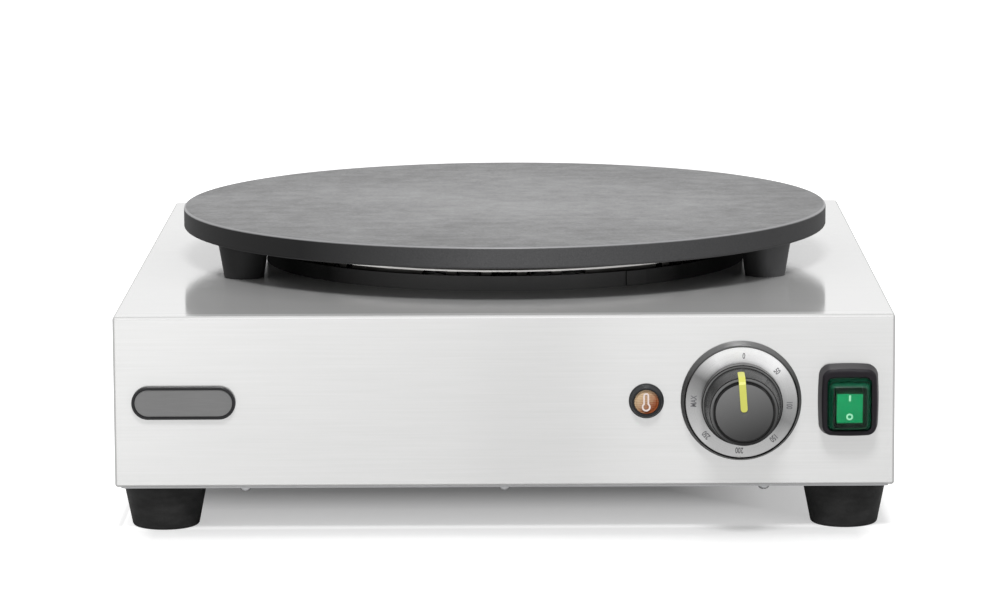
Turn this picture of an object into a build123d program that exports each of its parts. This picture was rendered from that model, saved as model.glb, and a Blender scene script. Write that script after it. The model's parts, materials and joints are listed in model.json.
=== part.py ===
from build123d import *
from math import asin, cos, degrees, pi, radians, sin
import os

os.makedirs("parts", exist_ok=True)

# =============================================================================
# Driving dimensions, in millimetres and degrees
# =============================================================================

# Casing
CASE_W = 450.0  # width
CASE_D = 500.0  # front panel to rear panel
CASE_H = 99.6  # height of the front panel
SHEET = 1.2  # stainless sheet
BEND_R = 1.8  # outside radius of a folded edge
LIP = 16.0  # in-turned lips round the underside and the back
PANEL_INSET = 2.0  # rear panel edge, in from the casing's edge
PLATE_INSET = 3.0  # bottom plate edge, in from the casing's edge
SCREW_LINE = 8.0  # cover screws, in from the edge of the casing
SCREW_PITCH_X = 150.0
SCREW_PITCH_Y = 220.0
COVER_SCREW_R = 2.0
COVER_HEAD_R = 3.6
COVER_HEAD_H = 2.8
COVER_SCREW_L = 7.0

# Feet
FOOT_H = 27.9  # worktop to the lower edge of the casing
FOOT_TOP_R = 24.6
FOOT_BOTTOM_R = 19.3
FOOT_EDGE_R = 2.0
FOOT_INSET_X = 26.9
FOOT_INSET_Y = 32.0
FOOT_RECESS_R = 8.0
FOOT_RECESS_H = 12.0
FOOT_SCREW_R = 3.0
FOOT_HEAD_R = 5.6
FOOT_HEAD_H = 3.6
FOOT_NUT_AF = 10.0
FOOT_NUT_H = 5.0

# Griddle
GRIDDLE_R = 200.0
GRIDDLE_T = 13.0
GRIDDLE_RISE = 33.8  # deck to cooking surface
GRIDDLE_SETBACK = 241.0  # front panel to griddle centre
GRIDDLE_EDGE_R = 1.6
LEG_RING_R = 180.0
LEG_TOP_R = 15.5
LEG_BOTTOM_R = 12.0
LEG_ROOT_R = 2.8
LEG_ANGLES = (90.0, 208.5, 331.5)
STUD_ANGLES = (90.0, 210.0, 330.0)
THREAD_DEPTH = 7.0  # blind threads in the griddle
BOSS_H = 4.0
STUD_BOSS_R = 8.0
TIE_BOSS_R = 12.0

# Burner collar and reflector pan
COLLAR_R = 148.5
COLLAR_T = 1.0
COLLAR_RISE = 9.0  # height above the deck
COLLAR_FLANGE_R = 158.0
COLLAR_GAP = 0.3  # deck opening to collar
SEAM_ANGLE = 302.0
SEAM_W = 14.0
PAN_R = 142.0
PAN_T = 0.8
PAN_RISE = 12.0  # rim above the deck
PAN_DEPTH = 12.0  # inside floor below the deck
PAN_RIM = 1.4  # bright strip left above the windows
WINDOW_H = 9.0
WIDE_WINDOW = 15.0
WIDE_PITCH = 8.5
NARROW_WINDOW = 5.0
NARROW_PITCH = 4.5
NARROW_START = 41.0

# Heating elements
ELEMENT_R = 4.0
ELEMENT_GAP = 0.1  # to the griddle and to the clamp
RING_RADII = (45.0, 84.0, 124.0)
RING_GAP_ANGLES = (270.0, 140.0, 40.0)
ELEMENT_BEND_R = 14.0
TERMINAL_PITCH = 20.0  # between the two legs of one element
TERMINAL_LOW = -46.0  # end of the sheath, from the deck
PIN_R = 2.0
PIN_L = 14.0
PASS_GAP = 1.5  # round an element leg where it passes a layer

# Clamp, studs and the stack below the pan
CLAMP_T = 3.0
CLAMP_HUB_R = 20.0
CLAMP_ARM_W = 20.0
CLAMP_ARM_L = 134.0
STUD_R = 3.0
STUD_RING_R = 64.0
STUD_NUT_AF = 10.0
STUD_NUT_H = 5.0
THREAD_GAP = 0.05  # round a screw in its thread
HOLE_GAP = 0.3  # round a screw in a plain hole
CROSS_SHARE = 0.26  # width of a screw's cross, as a share of its head's radius
THREAD_SHOWS = 2.0  # thread left standing out of a nut
HEAD_ROOM = 0.4  # beside a screw's head
SPACER_T = 2.4
INSULATION_R = 138.0
INSULATION_T = 25.0
BACKING_T = 1.2

# Hold-down
TIE_R = 4.0
TIE_CHAMFER = 0.8
TIE_WASHER_R = 11.0
TIE_WASHER_T = 1.6
DISC_R = 10.0
DISC_T = 0.9
DISC_CONE = 0.6
DISC_COUNT = 4
TIE_NUT_AF = 13.0
TIE_NUT_H = 6.5
TIE_LOW = -88.0
BRIDGE_W = 30.0
BRIDGE_T = 3.0
BRIDGE_LEG_X = 166.0
BRIDGE_FOOT = 20.0
BRIDGE_LOW = -61.0

# Sensor bulb, capillary and safety cut-out
BULB_R = 3.0
BULB_L = 70.0
BULB_OFFSET = 104.0  # in front of the griddle centre
CLIP_W = 14.0
CLIP_T = 1.0
CLIP_EAR = 11.0
CAPILLARY_R = 1.0
CAPILLARY_RUN = 18.0  # straight out of the bulb
CAPILLARY_DROP = 14.0  # below the backing plate
CAPILLARY_SIDE = 22.0  # turn before the thermostat, left of its middle
CAPILLARY_AHEAD = 24.0  # turn in front of the bulb, and turn behind the thermostat
CAPILLARY_BENDS = (10.0, 18.0, 20.0, 12.0)
SMALL_SCREW_R = 2.0
SMALL_HEAD_R = 3.5
SMALL_HEAD_H = 2.2
SMALL_SCREW_L = 6.0
CUTOUT_X = -46.0
CUTOUT_BACK = -84.0  # from the griddle centre
CUTOUT_R = 8.0
CUTOUT_H = 10.0
CUTOUT_EAR_PITCH = 24.0

# Front controls
CONTROL_DROP = 50.0  # below the deck
SWITCH_DROP = 0.5  # switch, lower than the other controls
LAMP_X = 81.9
DIAL_X = 136.4
SWITCH_X = 198.1
BADGE_X = -184.6

# Temperature dial and knob
BEZEL_BASE_R = 34.75
BEZEL_FACE_R = 33.0
BEZEL_H = 6.8
BEZEL_FLOOR = 2.5
BEZEL_WELL_R = 20.2
BEZEL_LIP_T = 0.6
BEZEL_LIP_PROUD = 0.2  # above the dial ring
BEZEL_EDGE_H = 1.2
DIAL_RING_R = 32.0
DIAL_RING_T = 0.9
DIAL_RING_GAP = 0.1
DIAL_NOTCH = 1.0
DIAL_TURN = 2.5  # the ring sits turned clockwise by this much
KNOB_SKIRT_R = 23.3
KNOB_SKIRT_OUT = 16.9
KNOB_NECK_R = 22.0
KNOB_TOP_R = 19.7
KNOB_TOP_OUT = 37.2
KNOB_CAP_R = 17.3
KNOB_REACH = 41.0
KNOB_WALL = 2.2
KNOB_EASE = 0.5  # small bevels on the skirt and the shoulder
KNOB_RIM_H = 0.8
GROOVE_W = 0.6
GROOVE_DEPTH = 0.6
CAP_DOME = 0.7
CAP_BEVEL = 1.0
KNOB_LIFT = 0.9  # knob skirt above the bezel
HUB_R = 6.5
POINTER_W = 3.9
POINTER_PROUD = 0.5
POINTER_SINK = 0.7
POINTER_DEPTH = 1.6  # into the cap
POINTER_END_CORNER_R = 1.85
POINTER_TIP_CORNER_R = 1.65
POINTER_START_OUT = 27.0
POINTER_END_R = 0.4  # the pointer stops this far above the middle of the cap
POINTER_REST = 4.0  # the pointer stands this far anticlockwise of upright at zero
SHAFT_R = 3.0
SHAFT_GAP = 0.05
SHAFT_IN = 12.0  # length held inside the thermostat
SHAFT_IN_KNOB = 17.0
END_PLAY = 0.5  # past each end of the shaft
SHAFT_HOLE_R = 6.0
THERMOSTAT_W = 44.0
THERMOSTAT_D = 26.0
THERMOSTAT_CORNER_R = 4.0
BUSH_R = 5.0
BRACKET_W = 58.0
BRACKET_H = 24.0
BRACKET_T = 2.0
BRACKET_CORNER_R = 3.0
FIXING_PITCH = 28.0  # the two thermostat screws
FIXING_HEAD_H = 1.0
FIXING_IN = 3.0  # screw past the bracket
FIXING_HOLE_IN = 4.0  # hole past the bracket

# Indicator lamp
LAMP_BEZEL_R = 10.1
LAMP_REACH = 5.5
LAMP_FOOT_H = 0.9
LAMP_FOOT_BEVEL = 0.6
LAMP_FACE_R = 8.0
LAMP_EDGE = 0.4
LAMP_LENS_R = 7.15
LAMP_LENS_GAP = 0.1
LENS_SEAT = 1.0  # heights from here on are out of the panel
LENS_BACK = 2.2
LENS_EDGE = 3.4
LENS_TOP = 4.4
LAMP_BARREL_R = 6.5
LAMP_BARREL_L = 26.0
LAMP_NUT_AF = 18.0
LAMP_NUT_H = 4.0

# Rocker switch and its splash boot
SWITCH_W = 22.0
SWITCH_H = 30.0
SWITCH_D = 26.0
SWITCH_FLANGE_W = 24.0
SWITCH_FLANGE_H = 32.5
SWITCH_FLANGE_T = 3.5
FLANGE_CORNER_R = 1.5
WELL_W = 15.6
WELL_H = 19.8
WELL_D = 8.0
ROCKER_W = 14.8
ROCKER_H = 18.2
ROCKER_FACE = 12.8  # middle of the rocker's face, out of the panel
ROCKER_DISH = 0.5
ROCKER_TAIL = 5.0
ROCKER_TAPER = 2.4
ROCKER_EDGE_R = 0.8
PIVOT_R = 1.5
PIVOT_L = 1.6
PIVOT_OUT = 0.5  # pivot in front of the face of the panel
ROCKER_TILT = 10.0
PIVOT_GAP = 0.06
PIVOT_END_GAP = 0.2
BOOT_W = 25.0
BOOT_H = 30.9
BOOT_CORNER_R = 3.5
BOOT_FACE_W = 20.4
BOOT_FACE_H = 25.0
BOOT_FACE_DROP = 1.0  # the face sits this much lower than the boot's foot
BOOT_REACH = 16.5
BOOT_T = 1.0
BOOT_EDGE_R = 1.0
BOOT_SKIRT_MARGIN = 1.5  # skirt round the switch flange
BOOT_SKIRT_T = 4.3
FRAME_W = 35.0
FRAME_H = 42.1
FRAME_BULGE = 0.9
FRAME_CORNER_R = 7.0
FRAME_LIFT = 0.97  # middle of the frame, above the middle of the switch
FRAME_EDGE_R = 2.0
FRAME_REACH = 12.0
FRAME_SLOPE = 8.0  # degrees, outer faces of the frame
FRAME_GAP = 0.3

# Badge
BADGE_W = 60.0
BADGE_H = 19.2
BADGE_T = 3.0
BADGE_RIM = 1.5
BADGE_RECESS = 1.6
BADGE_EDGE_R = 0.7
INSERT_T = 0.9
INSERT_GAP = 0.4

# Mains inlet
GLAND_X = 165.0
GLAND_DROP = 55.0
LEAD_BORE_R = 4.8
GLAND_THREAD_R = 10.0
GLAND_HEX_AF = 24.0
GLAND_HEX_T = 6.0
GLAND_NECK_R = 9.0
GLAND_NECK_L = 16.0
GLAND_IN = 12.0
GLAND_REACH = 28.0
GLAND_MOUTH_R = 7.6
LOCKNUT_AF = 25.0
LOCKNUT_T = 5.0

# Terminal block and earth stud
BLOCK_W = 42.0
BLOCK_D = 22.0
BLOCK_H = 20.0
BLOCK_BACK = 78.0  # rear panel to the middle of the block
BLOCK_FIXING_EDGE = 4.0  # fixing screws, in from the block's ends
BLOCK_STEP_D = 5.5
BLOCK_STEP_H = 5.0
POLE_PITCH = 12.0
POLE_H = 9.0  # middle of the wire bore, above the block's foot
POLE_BORE_GAP = 0.2
POLE_SCREW_R = 2.2
POLE_SCREW_SINK = 0.8
POLE_SLOT_W = 0.7
EARTH_STUD_R = 2.5
EARTH_STUD_L = 18.0
EARTH_HEX_AF = 8.0
EARTH_HEX_H = 4.0
EARTH_TAG_T = 1.0
EARTH_TAG_R = 4.6
EARTH_TONGUE = 12.0
EARTH_X = 110.0

# Spade tabs on the electrical pieces
SPADE_W = 6.3
SPADE_T = 0.8
SPADE_L = 8.0
SWITCH_SPADE_L = 9.0
SWITCH_TAB_X = 5.5
SWITCH_TAB_Z = 8.0
THERMOSTAT_TAB_X = 11.0
THERMOSTAT_TAB_Z = 13.0
LAMP_TAB_Z = 3.5
LAMP_TAB_W = 4.8

# Internal leads
LEAD_R = 1.6
TAB_RUN = 26.0  # straight out of a spade tab
LANE_INSET = 18.0  # lane of leads along the right side, in from it
LANE_LIFT = 34.0  # above the bottom plate
LANE_STEP = 6.0  # from one lead to the next
LANE_START = 74.0  # in front of the block
LANE_END = 60.0  # behind the switch's tabs
LANE_RISE = 1.0  # from the start of the lane to its end
BLOCK_RUN = 34.0  # straight out of the block
LOOP_DROP = 24.0  # the leads hang this far below the pins they end on
POWER_BENDS = (22.0, 22.0, 20.0, 18.0)
THERMOSTAT_BENDS = (18.0, 18.0)
CUTOUT_BENDS = (20.0, 12.0, 10.0)
CUTOUT_SIDE = 30.0  # last turn of the cut-out's lead, right of it
CUTOUT_AHEAD = 10.0  # and in front of it
OUTER_BENDS = (18.0, 20.0, 24.0, 14.0)
OUTER_TURN = 50.0  # last turn of the outer ring's lead, behind the griddle's middle
LOOP_BENDS = (14.0, 14.0)
EARTH_RUN = 26.0
LINK_R = 1.6
LINK_EYE_H = 4.2
LINK_DROP = 5.0  # below the end of the sheath
POLE_GRIP = 6.0  # how far the leads reach into the block, from its middle

# Vents
VENT_W = 3.6
VENT_L = 34.0
VENT_PITCH = 9.0
VENT_COUNT = 9
VENT_GROUP_X = 95.0
FLOOR_VENT_L = 60.0
FLOOR_VENT_ROWS = 10

# =============================================================================
# Places that follow from them
# =============================================================================

# The origin is under the middle of the whole object, knob and gland included.
CASE_Y = (KNOB_REACH + POINTER_PROUD - GLAND_REACH) / 2
FRONT_Y = CASE_Y - CASE_D / 2
REAR_Y = CASE_Y + CASE_D / 2
BASE_Z = FOOT_H
DECK_Z = BASE_Z + CASE_H
CONTROL_Z = DECK_Z - CONTROL_DROP
SWITCH_Z = CONTROL_Z - SWITCH_DROP
GRIDDLE_Y = FRONT_Y + GRIDDLE_SETBACK
SIDE_X = CASE_W / 2

UNDERSIDE = GRIDDLE_RISE - GRIDDLE_T  # heights from here on are above the deck
ELEMENT_MID = UNDERSIDE - ELEMENT_GAP - ELEMENT_R
CLAMP_TOP = ELEMENT_MID - ELEMENT_R - ELEMENT_GAP
CLAMP_LOW = CLAMP_TOP - CLAMP_T
PAN_FLOOR = -PAN_DEPTH
INSULATION_TOP = PAN_FLOOR - PAN_T
BACKING_TOP = INSULATION_TOP - INSULATION_T
BACKING_LOW = BACKING_TOP - BACKING_T
STUD_LOW = BACKING_LOW - STUD_NUT_H - THREAD_SHOWS

UP = (0, 0, 1)
DOWN = (0, 0, -1)
GRIDDLE_AXIS = Axis((0, GRIDDLE_Y, 0), UP)
# Section through the griddle: X is the radius, Y is the height above the deck.
GRIDDLE_SECTION = Plane(origin=(0, GRIDDLE_Y, DECK_Z), x_dir=(1, 0, 0), z_dir=(0, -1, 0))


def on_front(x, out=0.0):
    """Plane on the front panel at a control: local X right, local Y up, local Z outwards."""
    return Plane(origin=(x, FRONT_Y - out, CONTROL_Z), x_dir=(1, 0, 0), z_dir=(0, -1, 0))


def on_switch(out=0.0, lift=0.0):
    """Plane on the front panel at the switch."""
    return Plane(origin=(SWITCH_X, FRONT_Y - out, SWITCH_Z + lift), x_dir=(1, 0, 0), z_dir=(0, -1, 0))


def front_section(x):
    """Section through a control's axis: local X is its radius, local Y its reach outwards."""
    return Plane(origin=(x, FRONT_Y, CONTROL_Z), x_dir=(1, 0, 0), z_dir=(0, 0, -1))


def front_axis(x):
    """Axis of a round control, pointing out of the front panel."""
    return Axis((x, FRONT_Y, CONTROL_Z), (0, -1, 0))


def on_rear(x, z, out=0.0):
    """Plane on the rear panel: local Y up, local Z outwards."""
    return Plane(origin=(x, REAR_Y + out, z), x_dir=(-1, 0, 0), z_dir=(0, 1, 0))


def at_deck(height):
    """Level plane at a height above the deck, centred on the griddle."""
    return Plane(origin=(0, GRIDDLE_Y, DECK_Z + height), x_dir=(1, 0, 0), z_dir=UP)


def polar(radius, angle):
    """Point on a circle about the griddle's axis."""
    return radius * cos(radians(angle)), radius * sin(radians(angle))


def screw(head_r, head_h, shank_r, shank_l):
    """Cross-recessed screw: head above Z 0, shank below it."""
    with BuildPart() as body:
        with BuildSketch(Plane.XZ):
            with BuildLine():
                Line((0, 0), (0, head_h))
                TangentArc((0, head_h), (head_r, 0), tangent=(1, 0))
                Line((head_r, 0), (0, 0))
            make_face()
        revolve(axis=Axis.Z)
        with Locations((0, 0, head_h)):
            Box(head_r, head_r * CROSS_SHARE, head_h, mode=Mode.SUBTRACT)
            Box(head_r * CROSS_SHARE, head_r, head_h, mode=Mode.SUBTRACT)
        Cylinder(shank_r, shank_l, align=(Align.CENTER, Align.CENTER, Align.MAX))
    return body.part


def hex_nut(across_flats, height, bore_r):
    """Hexagon nut standing on Z 0."""
    with BuildPart() as body:
        with BuildSketch():
            RegularPolygon(across_flats / 2, 6, major_radius=False)
            Circle(bore_r, mode=Mode.SUBTRACT)
        extrude(amount=height)
    return body.part


def tube(outer_r, inner_r, height):
    """Plain sleeve or washer standing on Z 0."""
    with BuildPart() as body:
        with BuildSketch():
            Circle(outer_r)
            Circle(inner_r, mode=Mode.SUBTRACT)
        extrude(amount=height)
    return body.part


# =============================================================================
# Housing
# =============================================================================

BOTTOM_SCREW_SPOTS = [
    *[(x, FRONT_Y + SCREW_LINE) for x in (-SCREW_PITCH_X, 0, SCREW_PITCH_X)],
    *[(x, REAR_Y - SCREW_LINE) for x in (-SCREW_PITCH_X, 0, SCREW_PITCH_X)],
    *[(x, CASE_Y + y) for x in (SCREW_LINE - SIDE_X, SIDE_X - SCREW_LINE)
      for y in (-SCREW_PITCH_Y / 2, SCREW_PITCH_Y / 2)],
]
REAR_SCREW_SPOTS = [
    *[(x, DECK_Z - SCREW_LINE) for x in (SCREW_LINE * 3 - SIDE_X, 0, SIDE_X - SCREW_LINE * 3)],
    *[(x, BASE_Z + SCREW_LINE * 3) for x in (SCREW_LINE - SIDE_X, SIDE_X - SCREW_LINE)],
]
COVER_HOLE_R = COVER_SCREW_R + HOLE_GAP
SHELL_D = CASE_D - SHEET

# One folded sheet: deck, front and sides, with lips for the bottom plate and the rear panel.
with BuildPart() as housing_shell:
    with Locations((0, FRONT_Y + SHELL_D / 2, BASE_Z + CASE_H / 2)):
        Box(CASE_W, SHELL_D, CASE_H)
    fillet(housing_shell.edges(), BEND_R)
    with Locations((0, FRONT_Y + SHELL_D / 2, BASE_Z + CASE_H / 2)):
        Box(CASE_W - 2 * SHEET, SHELL_D - 2 * SHEET, CASE_H - 2 * SHEET, mode=Mode.SUBTRACT)
    fillet(housing_shell.edges(Select.LAST), BEND_R - SHEET)
    # open underside
    with BuildSketch(Plane.XY.offset(BASE_Z)):
        with Locations((0, FRONT_Y + LIP)):
            Rectangle(CASE_W - 2 * LIP, CASE_D, align=(Align.CENTER, Align.MIN))
    extrude(amount=2 * SHEET, mode=Mode.SUBTRACT)
    # open back
    with BuildSketch(on_rear(0, BASE_Z)):
        Rectangle(CASE_W - 2 * LIP, CASE_H - LIP, align=(Align.CENTER, Align.MIN))
    extrude(amount=-3 * SHEET, mode=Mode.SUBTRACT)
    # opening for the burner collar
    with BuildSketch(at_deck(0)):
        Circle(COLLAR_R + COLLAR_GAP)
    extrude(amount=-2 * SHEET, mode=Mode.SUBTRACT)
    # cover screws, in the front and side lips and in the back lips
    with Locations(*[Plane((x, y, BASE_Z), z_dir=DOWN) for x, y in BOTTOM_SCREW_SPOTS]):
        Hole(COVER_HOLE_R, depth=3 * SHEET)
    with Locations(*[on_rear(x, z) for x, z in REAR_SCREW_SPOTS]):
        Hole(COVER_HOLE_R, depth=4 * SHEET)
    # controls
    with Locations(on_front(LAMP_X)):
        Hole(LAMP_BARREL_R + HOLE_GAP, depth=2 * SHEET)
    with Locations(on_front(DIAL_X)):
        Hole(SHAFT_HOLE_R, depth=2 * SHEET)
        with GridLocations(FIXING_PITCH, 0, 2, 1):
            Hole(SMALL_SCREW_R + HOLE_GAP, depth=2 * SHEET)
    with BuildSketch(on_switch()):
        Rectangle(SWITCH_W + 2 * HOLE_GAP, SWITCH_H + 2 * HOLE_GAP)
    extrude(amount=-2 * SHEET, mode=Mode.SUBTRACT)
housing_shell.part.label = "housing_shell"
export_step(housing_shell.part, "parts/housing_shell.step")

# Flat panel on the back with one lip turned forwards at the bottom.
with BuildPart() as rear_panel:
    with BuildSketch(on_rear(0, BASE_Z, out=-SHEET)):
        Rectangle(CASE_W - 2 * PANEL_INSET, CASE_H - PANEL_INSET, align=(Align.CENTER, Align.MIN))
    extrude(amount=SHEET)
    fillet(rear_panel.edges().filter_by(Axis.Y).group_by(Axis.Z)[-1], BEND_R)
    with BuildSketch(Plane.XY.offset(BASE_Z)):
        with Locations((0, REAR_Y)):
            Rectangle(CASE_W - 2 * LIP - 2 * HOLE_GAP, LIP, align=(Align.CENTER, Align.MAX))
    extrude(amount=SHEET)
    with Locations(*[on_rear(x, z) for x, z in REAR_SCREW_SPOTS]):
        Hole(COVER_HOLE_R, depth=2 * SHEET)
    with Locations(*[Plane((x, y, BASE_Z), z_dir=DOWN) for x, y in BOTTOM_SCREW_SPOTS if y > REAR_Y - LIP]):
        Hole(COVER_HOLE_R, depth=2 * SHEET)
    with Locations(on_rear(GLAND_X, DECK_Z - GLAND_DROP)):
        Hole(GLAND_THREAD_R + HOLE_GAP, depth=2 * SHEET)
    with BuildSketch(on_rear(0, BASE_Z + CASE_H / 2)):
        with Locations((VENT_GROUP_X, 0), (0, 0)):
            with GridLocations(VENT_PITCH, 0, VENT_COUNT, 1):
                SlotOverall(VENT_L, VENT_W, rotation=90)
    extrude(amount=-2 * SHEET, mode=Mode.SUBTRACT)
rear_panel.part.label = "rear_panel"
export_step(rear_panel.part, "parts/rear_panel.step")

FOOT_SPOTS = {
    "foot_front_left": (FOOT_INSET_X - SIDE_X, FRONT_Y + FOOT_INSET_Y),
    "foot_front_right": (SIDE_X - FOOT_INSET_X, FRONT_Y + FOOT_INSET_Y),
    "foot_rear_left": (FOOT_INSET_X - SIDE_X, REAR_Y - FOOT_INSET_Y),
    "foot_rear_right": (SIDE_X - FOOT_INSET_X, REAR_Y - FOOT_INSET_Y),
}
BLOCK_X = GLAND_X
BLOCK_Y = REAR_Y - BLOCK_BACK
BLOCK_FIXINGS = [(BLOCK_X + side * (BLOCK_W / 2 - BLOCK_FIXING_EDGE), BLOCK_Y) for side in (-1, 1)]

# Closes the underside from below.
with BuildPart() as bottom_plate:
    with BuildSketch(Plane.XY.offset(BASE_Z)):
        with Locations((0, CASE_Y)):
            RectangleRounded(CASE_W - 2 * PLATE_INSET, CASE_D - 2 * PLATE_INSET, PLATE_INSET)
        with Locations(*BOTTOM_SCREW_SPOTS):
            Circle(COVER_HOLE_R, mode=Mode.SUBTRACT)
        with Locations(*FOOT_SPOTS.values()):
            Circle(FOOT_SCREW_R + HOLE_GAP, mode=Mode.SUBTRACT)
        with Locations((EARTH_X, BLOCK_Y)):
            Circle(EARTH_STUD_R + THREAD_GAP, mode=Mode.SUBTRACT)
        with Locations(*BLOCK_FIXINGS):
            Circle(SMALL_SCREW_R + HOLE_GAP, mode=Mode.SUBTRACT)
        with Locations((0, GRIDDLE_Y)):
            with GridLocations(2 * FLOOR_VENT_L, 2 * VENT_PITCH, 2, FLOOR_VENT_ROWS):
                SlotOverall(FLOOR_VENT_L, VENT_W, mode=Mode.SUBTRACT)
    extrude(amount=-SHEET)
bottom_plate.part.label = "bottom_plate"
export_step(bottom_plate.part, "parts/bottom_plate.step")

cover_screw = screw(COVER_HEAD_R, COVER_HEAD_H, COVER_SCREW_R, COVER_SCREW_L)

with BuildPart() as bottom_screws:
    with Locations(*[Plane((x, y, BASE_Z - SHEET), z_dir=DOWN) for x, y in BOTTOM_SCREW_SPOTS]):
        add(cover_screw)
bottom_screws.part.label = "bottom_screws"
export_step(bottom_screws.part, "parts/bottom_screws.step")

with BuildPart() as rear_screws:
    with Locations(*[on_rear(x, z) for x, z in REAR_SCREW_SPOTS]):
        add(cover_screw)
rear_screws.part.label = "rear_screws"
export_step(rear_screws.part, "parts/rear_screws.step")


def rubber_foot(x, y):
    """Tapered rubber foot with a deep recess for its screw's head."""
    height = FOOT_H - SHEET
    with BuildPart(Plane((x, y, 0))) as foot:
        Cone(FOOT_BOTTOM_R, FOOT_TOP_R, height, align=(Align.CENTER, Align.CENTER, Align.MIN))
        fillet(foot.edges().group_by(Axis.Z)[0], FOOT_EDGE_R)
        Cylinder(FOOT_RECESS_R, FOOT_RECESS_H, align=(Align.CENTER, Align.CENTER, Align.MIN),
                 mode=Mode.SUBTRACT)
        Cylinder(FOOT_SCREW_R + HOLE_GAP, height, align=(Align.CENTER, Align.CENTER, Align.MIN),
                 mode=Mode.SUBTRACT)
    return foot


for foot_name, (foot_x, foot_y) in FOOT_SPOTS.items():
    foot_piece = rubber_foot(foot_x, foot_y)
    foot_piece.part.label = foot_name
    export_step(foot_piece.part, f"parts/{foot_name}.step")

FOOT_SCREW_L = FOOT_H - FOOT_RECESS_H + FOOT_NUT_H + THREAD_SHOWS
foot_screw = screw(FOOT_HEAD_R, FOOT_HEAD_H, FOOT_SCREW_R, FOOT_SCREW_L)
foot_nut = hex_nut(FOOT_NUT_AF, FOOT_NUT_H, FOOT_SCREW_R + THREAD_GAP)

with BuildPart() as foot_screws:
    with Locations(*[Plane((x, y, FOOT_RECESS_H), z_dir=DOWN) for x, y in FOOT_SPOTS.values()]):
        add(foot_screw)
foot_screws.part.label = "foot_screws"
export_step(foot_screws.part, "parts/foot_screws.step")

with BuildPart() as foot_nuts:
    with Locations(*[(x, y, BASE_Z) for x, y in FOOT_SPOTS.values()]):
        add(foot_nut)
foot_nuts.part.label = "foot_nuts"
export_step(foot_nuts.part, "parts/foot_nuts.step")

# =============================================================================
# Griddle and burner
# =============================================================================

STUD_SPOTS = [polar(STUD_RING_R, angle) for angle in STUD_ANGLES]
CLIP_SCREW_Y = -BULB_OFFSET + BULB_R + CLIP_T + SMALL_HEAD_R + HEAD_ROOM

# Cast disc on three tapered legs, with bosses for the studs and the tie rod.
with BuildPart() as griddle_plate:
    with BuildSketch(at_deck(UNDERSIDE)):
        Circle(GRIDDLE_R)
    extrude(amount=GRIDDLE_T)
    fillet(griddle_plate.edges(), GRIDDLE_EDGE_R)
    with Locations(at_deck(0.0)):
        with Locations(*[polar(LEG_RING_R, angle) for angle in LEG_ANGLES]):
            Cone(LEG_BOTTOM_R, LEG_TOP_R, UNDERSIDE, align=(Align.CENTER, Align.CENTER, Align.MIN))
    leg_roots = griddle_plate.edges().filter_by(GeomType.CIRCLE).filter_by(
        lambda e: abs(e.radius - LEG_TOP_R) < 0.01)
    fillet(leg_roots, LEG_ROOT_R)
    with BuildSketch(at_deck(UNDERSIDE)):
        with Locations(*STUD_SPOTS):
            Circle(STUD_BOSS_R)
        Circle(TIE_BOSS_R)
    extrude(amount=-BOSS_H)
    with BuildSketch(at_deck(UNDERSIDE - BOSS_H)):
        with Locations(*STUD_SPOTS):
            Circle(STUD_R + THREAD_GAP)
        Circle(TIE_R + THREAD_GAP)
    extrude(amount=BOSS_H + THREAD_DEPTH, mode=Mode.SUBTRACT)
    with BuildSketch(at_deck(UNDERSIDE)):
        with Locations((0, CLIP_SCREW_Y)):
            Circle(SMALL_SCREW_R + THREAD_GAP)
    extrude(amount=THREAD_DEPTH, mode=Mode.SUBTRACT)
griddle_plate.part.label = "griddle_plate"
export_step(griddle_plate.part, "parts/griddle_plate.step")

# Rolled ring with a lap seam, welded by its flange under the deck.
with BuildPart() as burner_collar:
    with BuildSketch(GRIDDLE_SECTION):
        with BuildLine():
            Polyline(
                (COLLAR_R - COLLAR_T, COLLAR_RISE),
                (COLLAR_R, COLLAR_RISE),
                (COLLAR_R, -SHEET),
                (COLLAR_FLANGE_R, -SHEET),
                (COLLAR_FLANGE_R, -SHEET - COLLAR_T),
                (COLLAR_R - COLLAR_T, -SHEET - COLLAR_T),
                close=True,
            )
        make_face()
    revolve(axis=GRIDDLE_AXIS)
    with BuildSketch(at_deck(COLLAR_GAP)):
        Circle(COLLAR_R + COLLAR_T)
        with Locations(Location((0, 0, 0), (0, 0, 1), SEAM_ANGLE)):
            Rectangle(2 * COLLAR_R, SEAM_W, align=(Align.MIN, Align.CENTER), mode=Mode.INTERSECT)
        Circle(COLLAR_R - COLLAR_T / 2, mode=Mode.SUBTRACT)
    extrude(amount=COLLAR_RISE - COLLAR_GAP)
burner_collar.part.label = "burner_collar"
export_step(burner_collar.part, "parts/burner_collar.step")


def leg_half_angle(ring_r):
    """Half of the angle left open between the two legs of a ring element."""
    return degrees(asin((TERMINAL_PITCH / 2 + ELEMENT_BEND_R) / ring_r))


def leg_spots(ring_r, gap_angle):
    """Where the two legs of a ring element go down, from the griddle's axis."""
    spots = []
    for side in (1, -1):
        angle = gap_angle + side * leg_half_angle(ring_r)
        x, y = polar(ring_r, angle)
        towards = angle - side * 90.0
        step_x, step_y = polar(ELEMENT_BEND_R, towards)
        spots.append((x + step_x, y + step_y))
    return spots


LEG_SPOTS = [spot for ring_r, gap in zip(RING_RADII, RING_GAP_ANGLES) for spot in leg_spots(ring_r, gap)]
CAPILLARY_DROP_X = BULB_L / 2 + CAPILLARY_RUN
PASSES = [
    (0.0, 0.0, TIE_R + HOLE_GAP),
    (CAPILLARY_DROP_X, -BULB_OFFSET, CAPILLARY_R + PASS_GAP),
    *[(x, y, STUD_R + HOLE_GAP) for x, y in STUD_SPOTS],
    *[(x, y, ELEMENT_R + PASS_GAP) for x, y in LEG_SPOTS],
]


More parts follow.
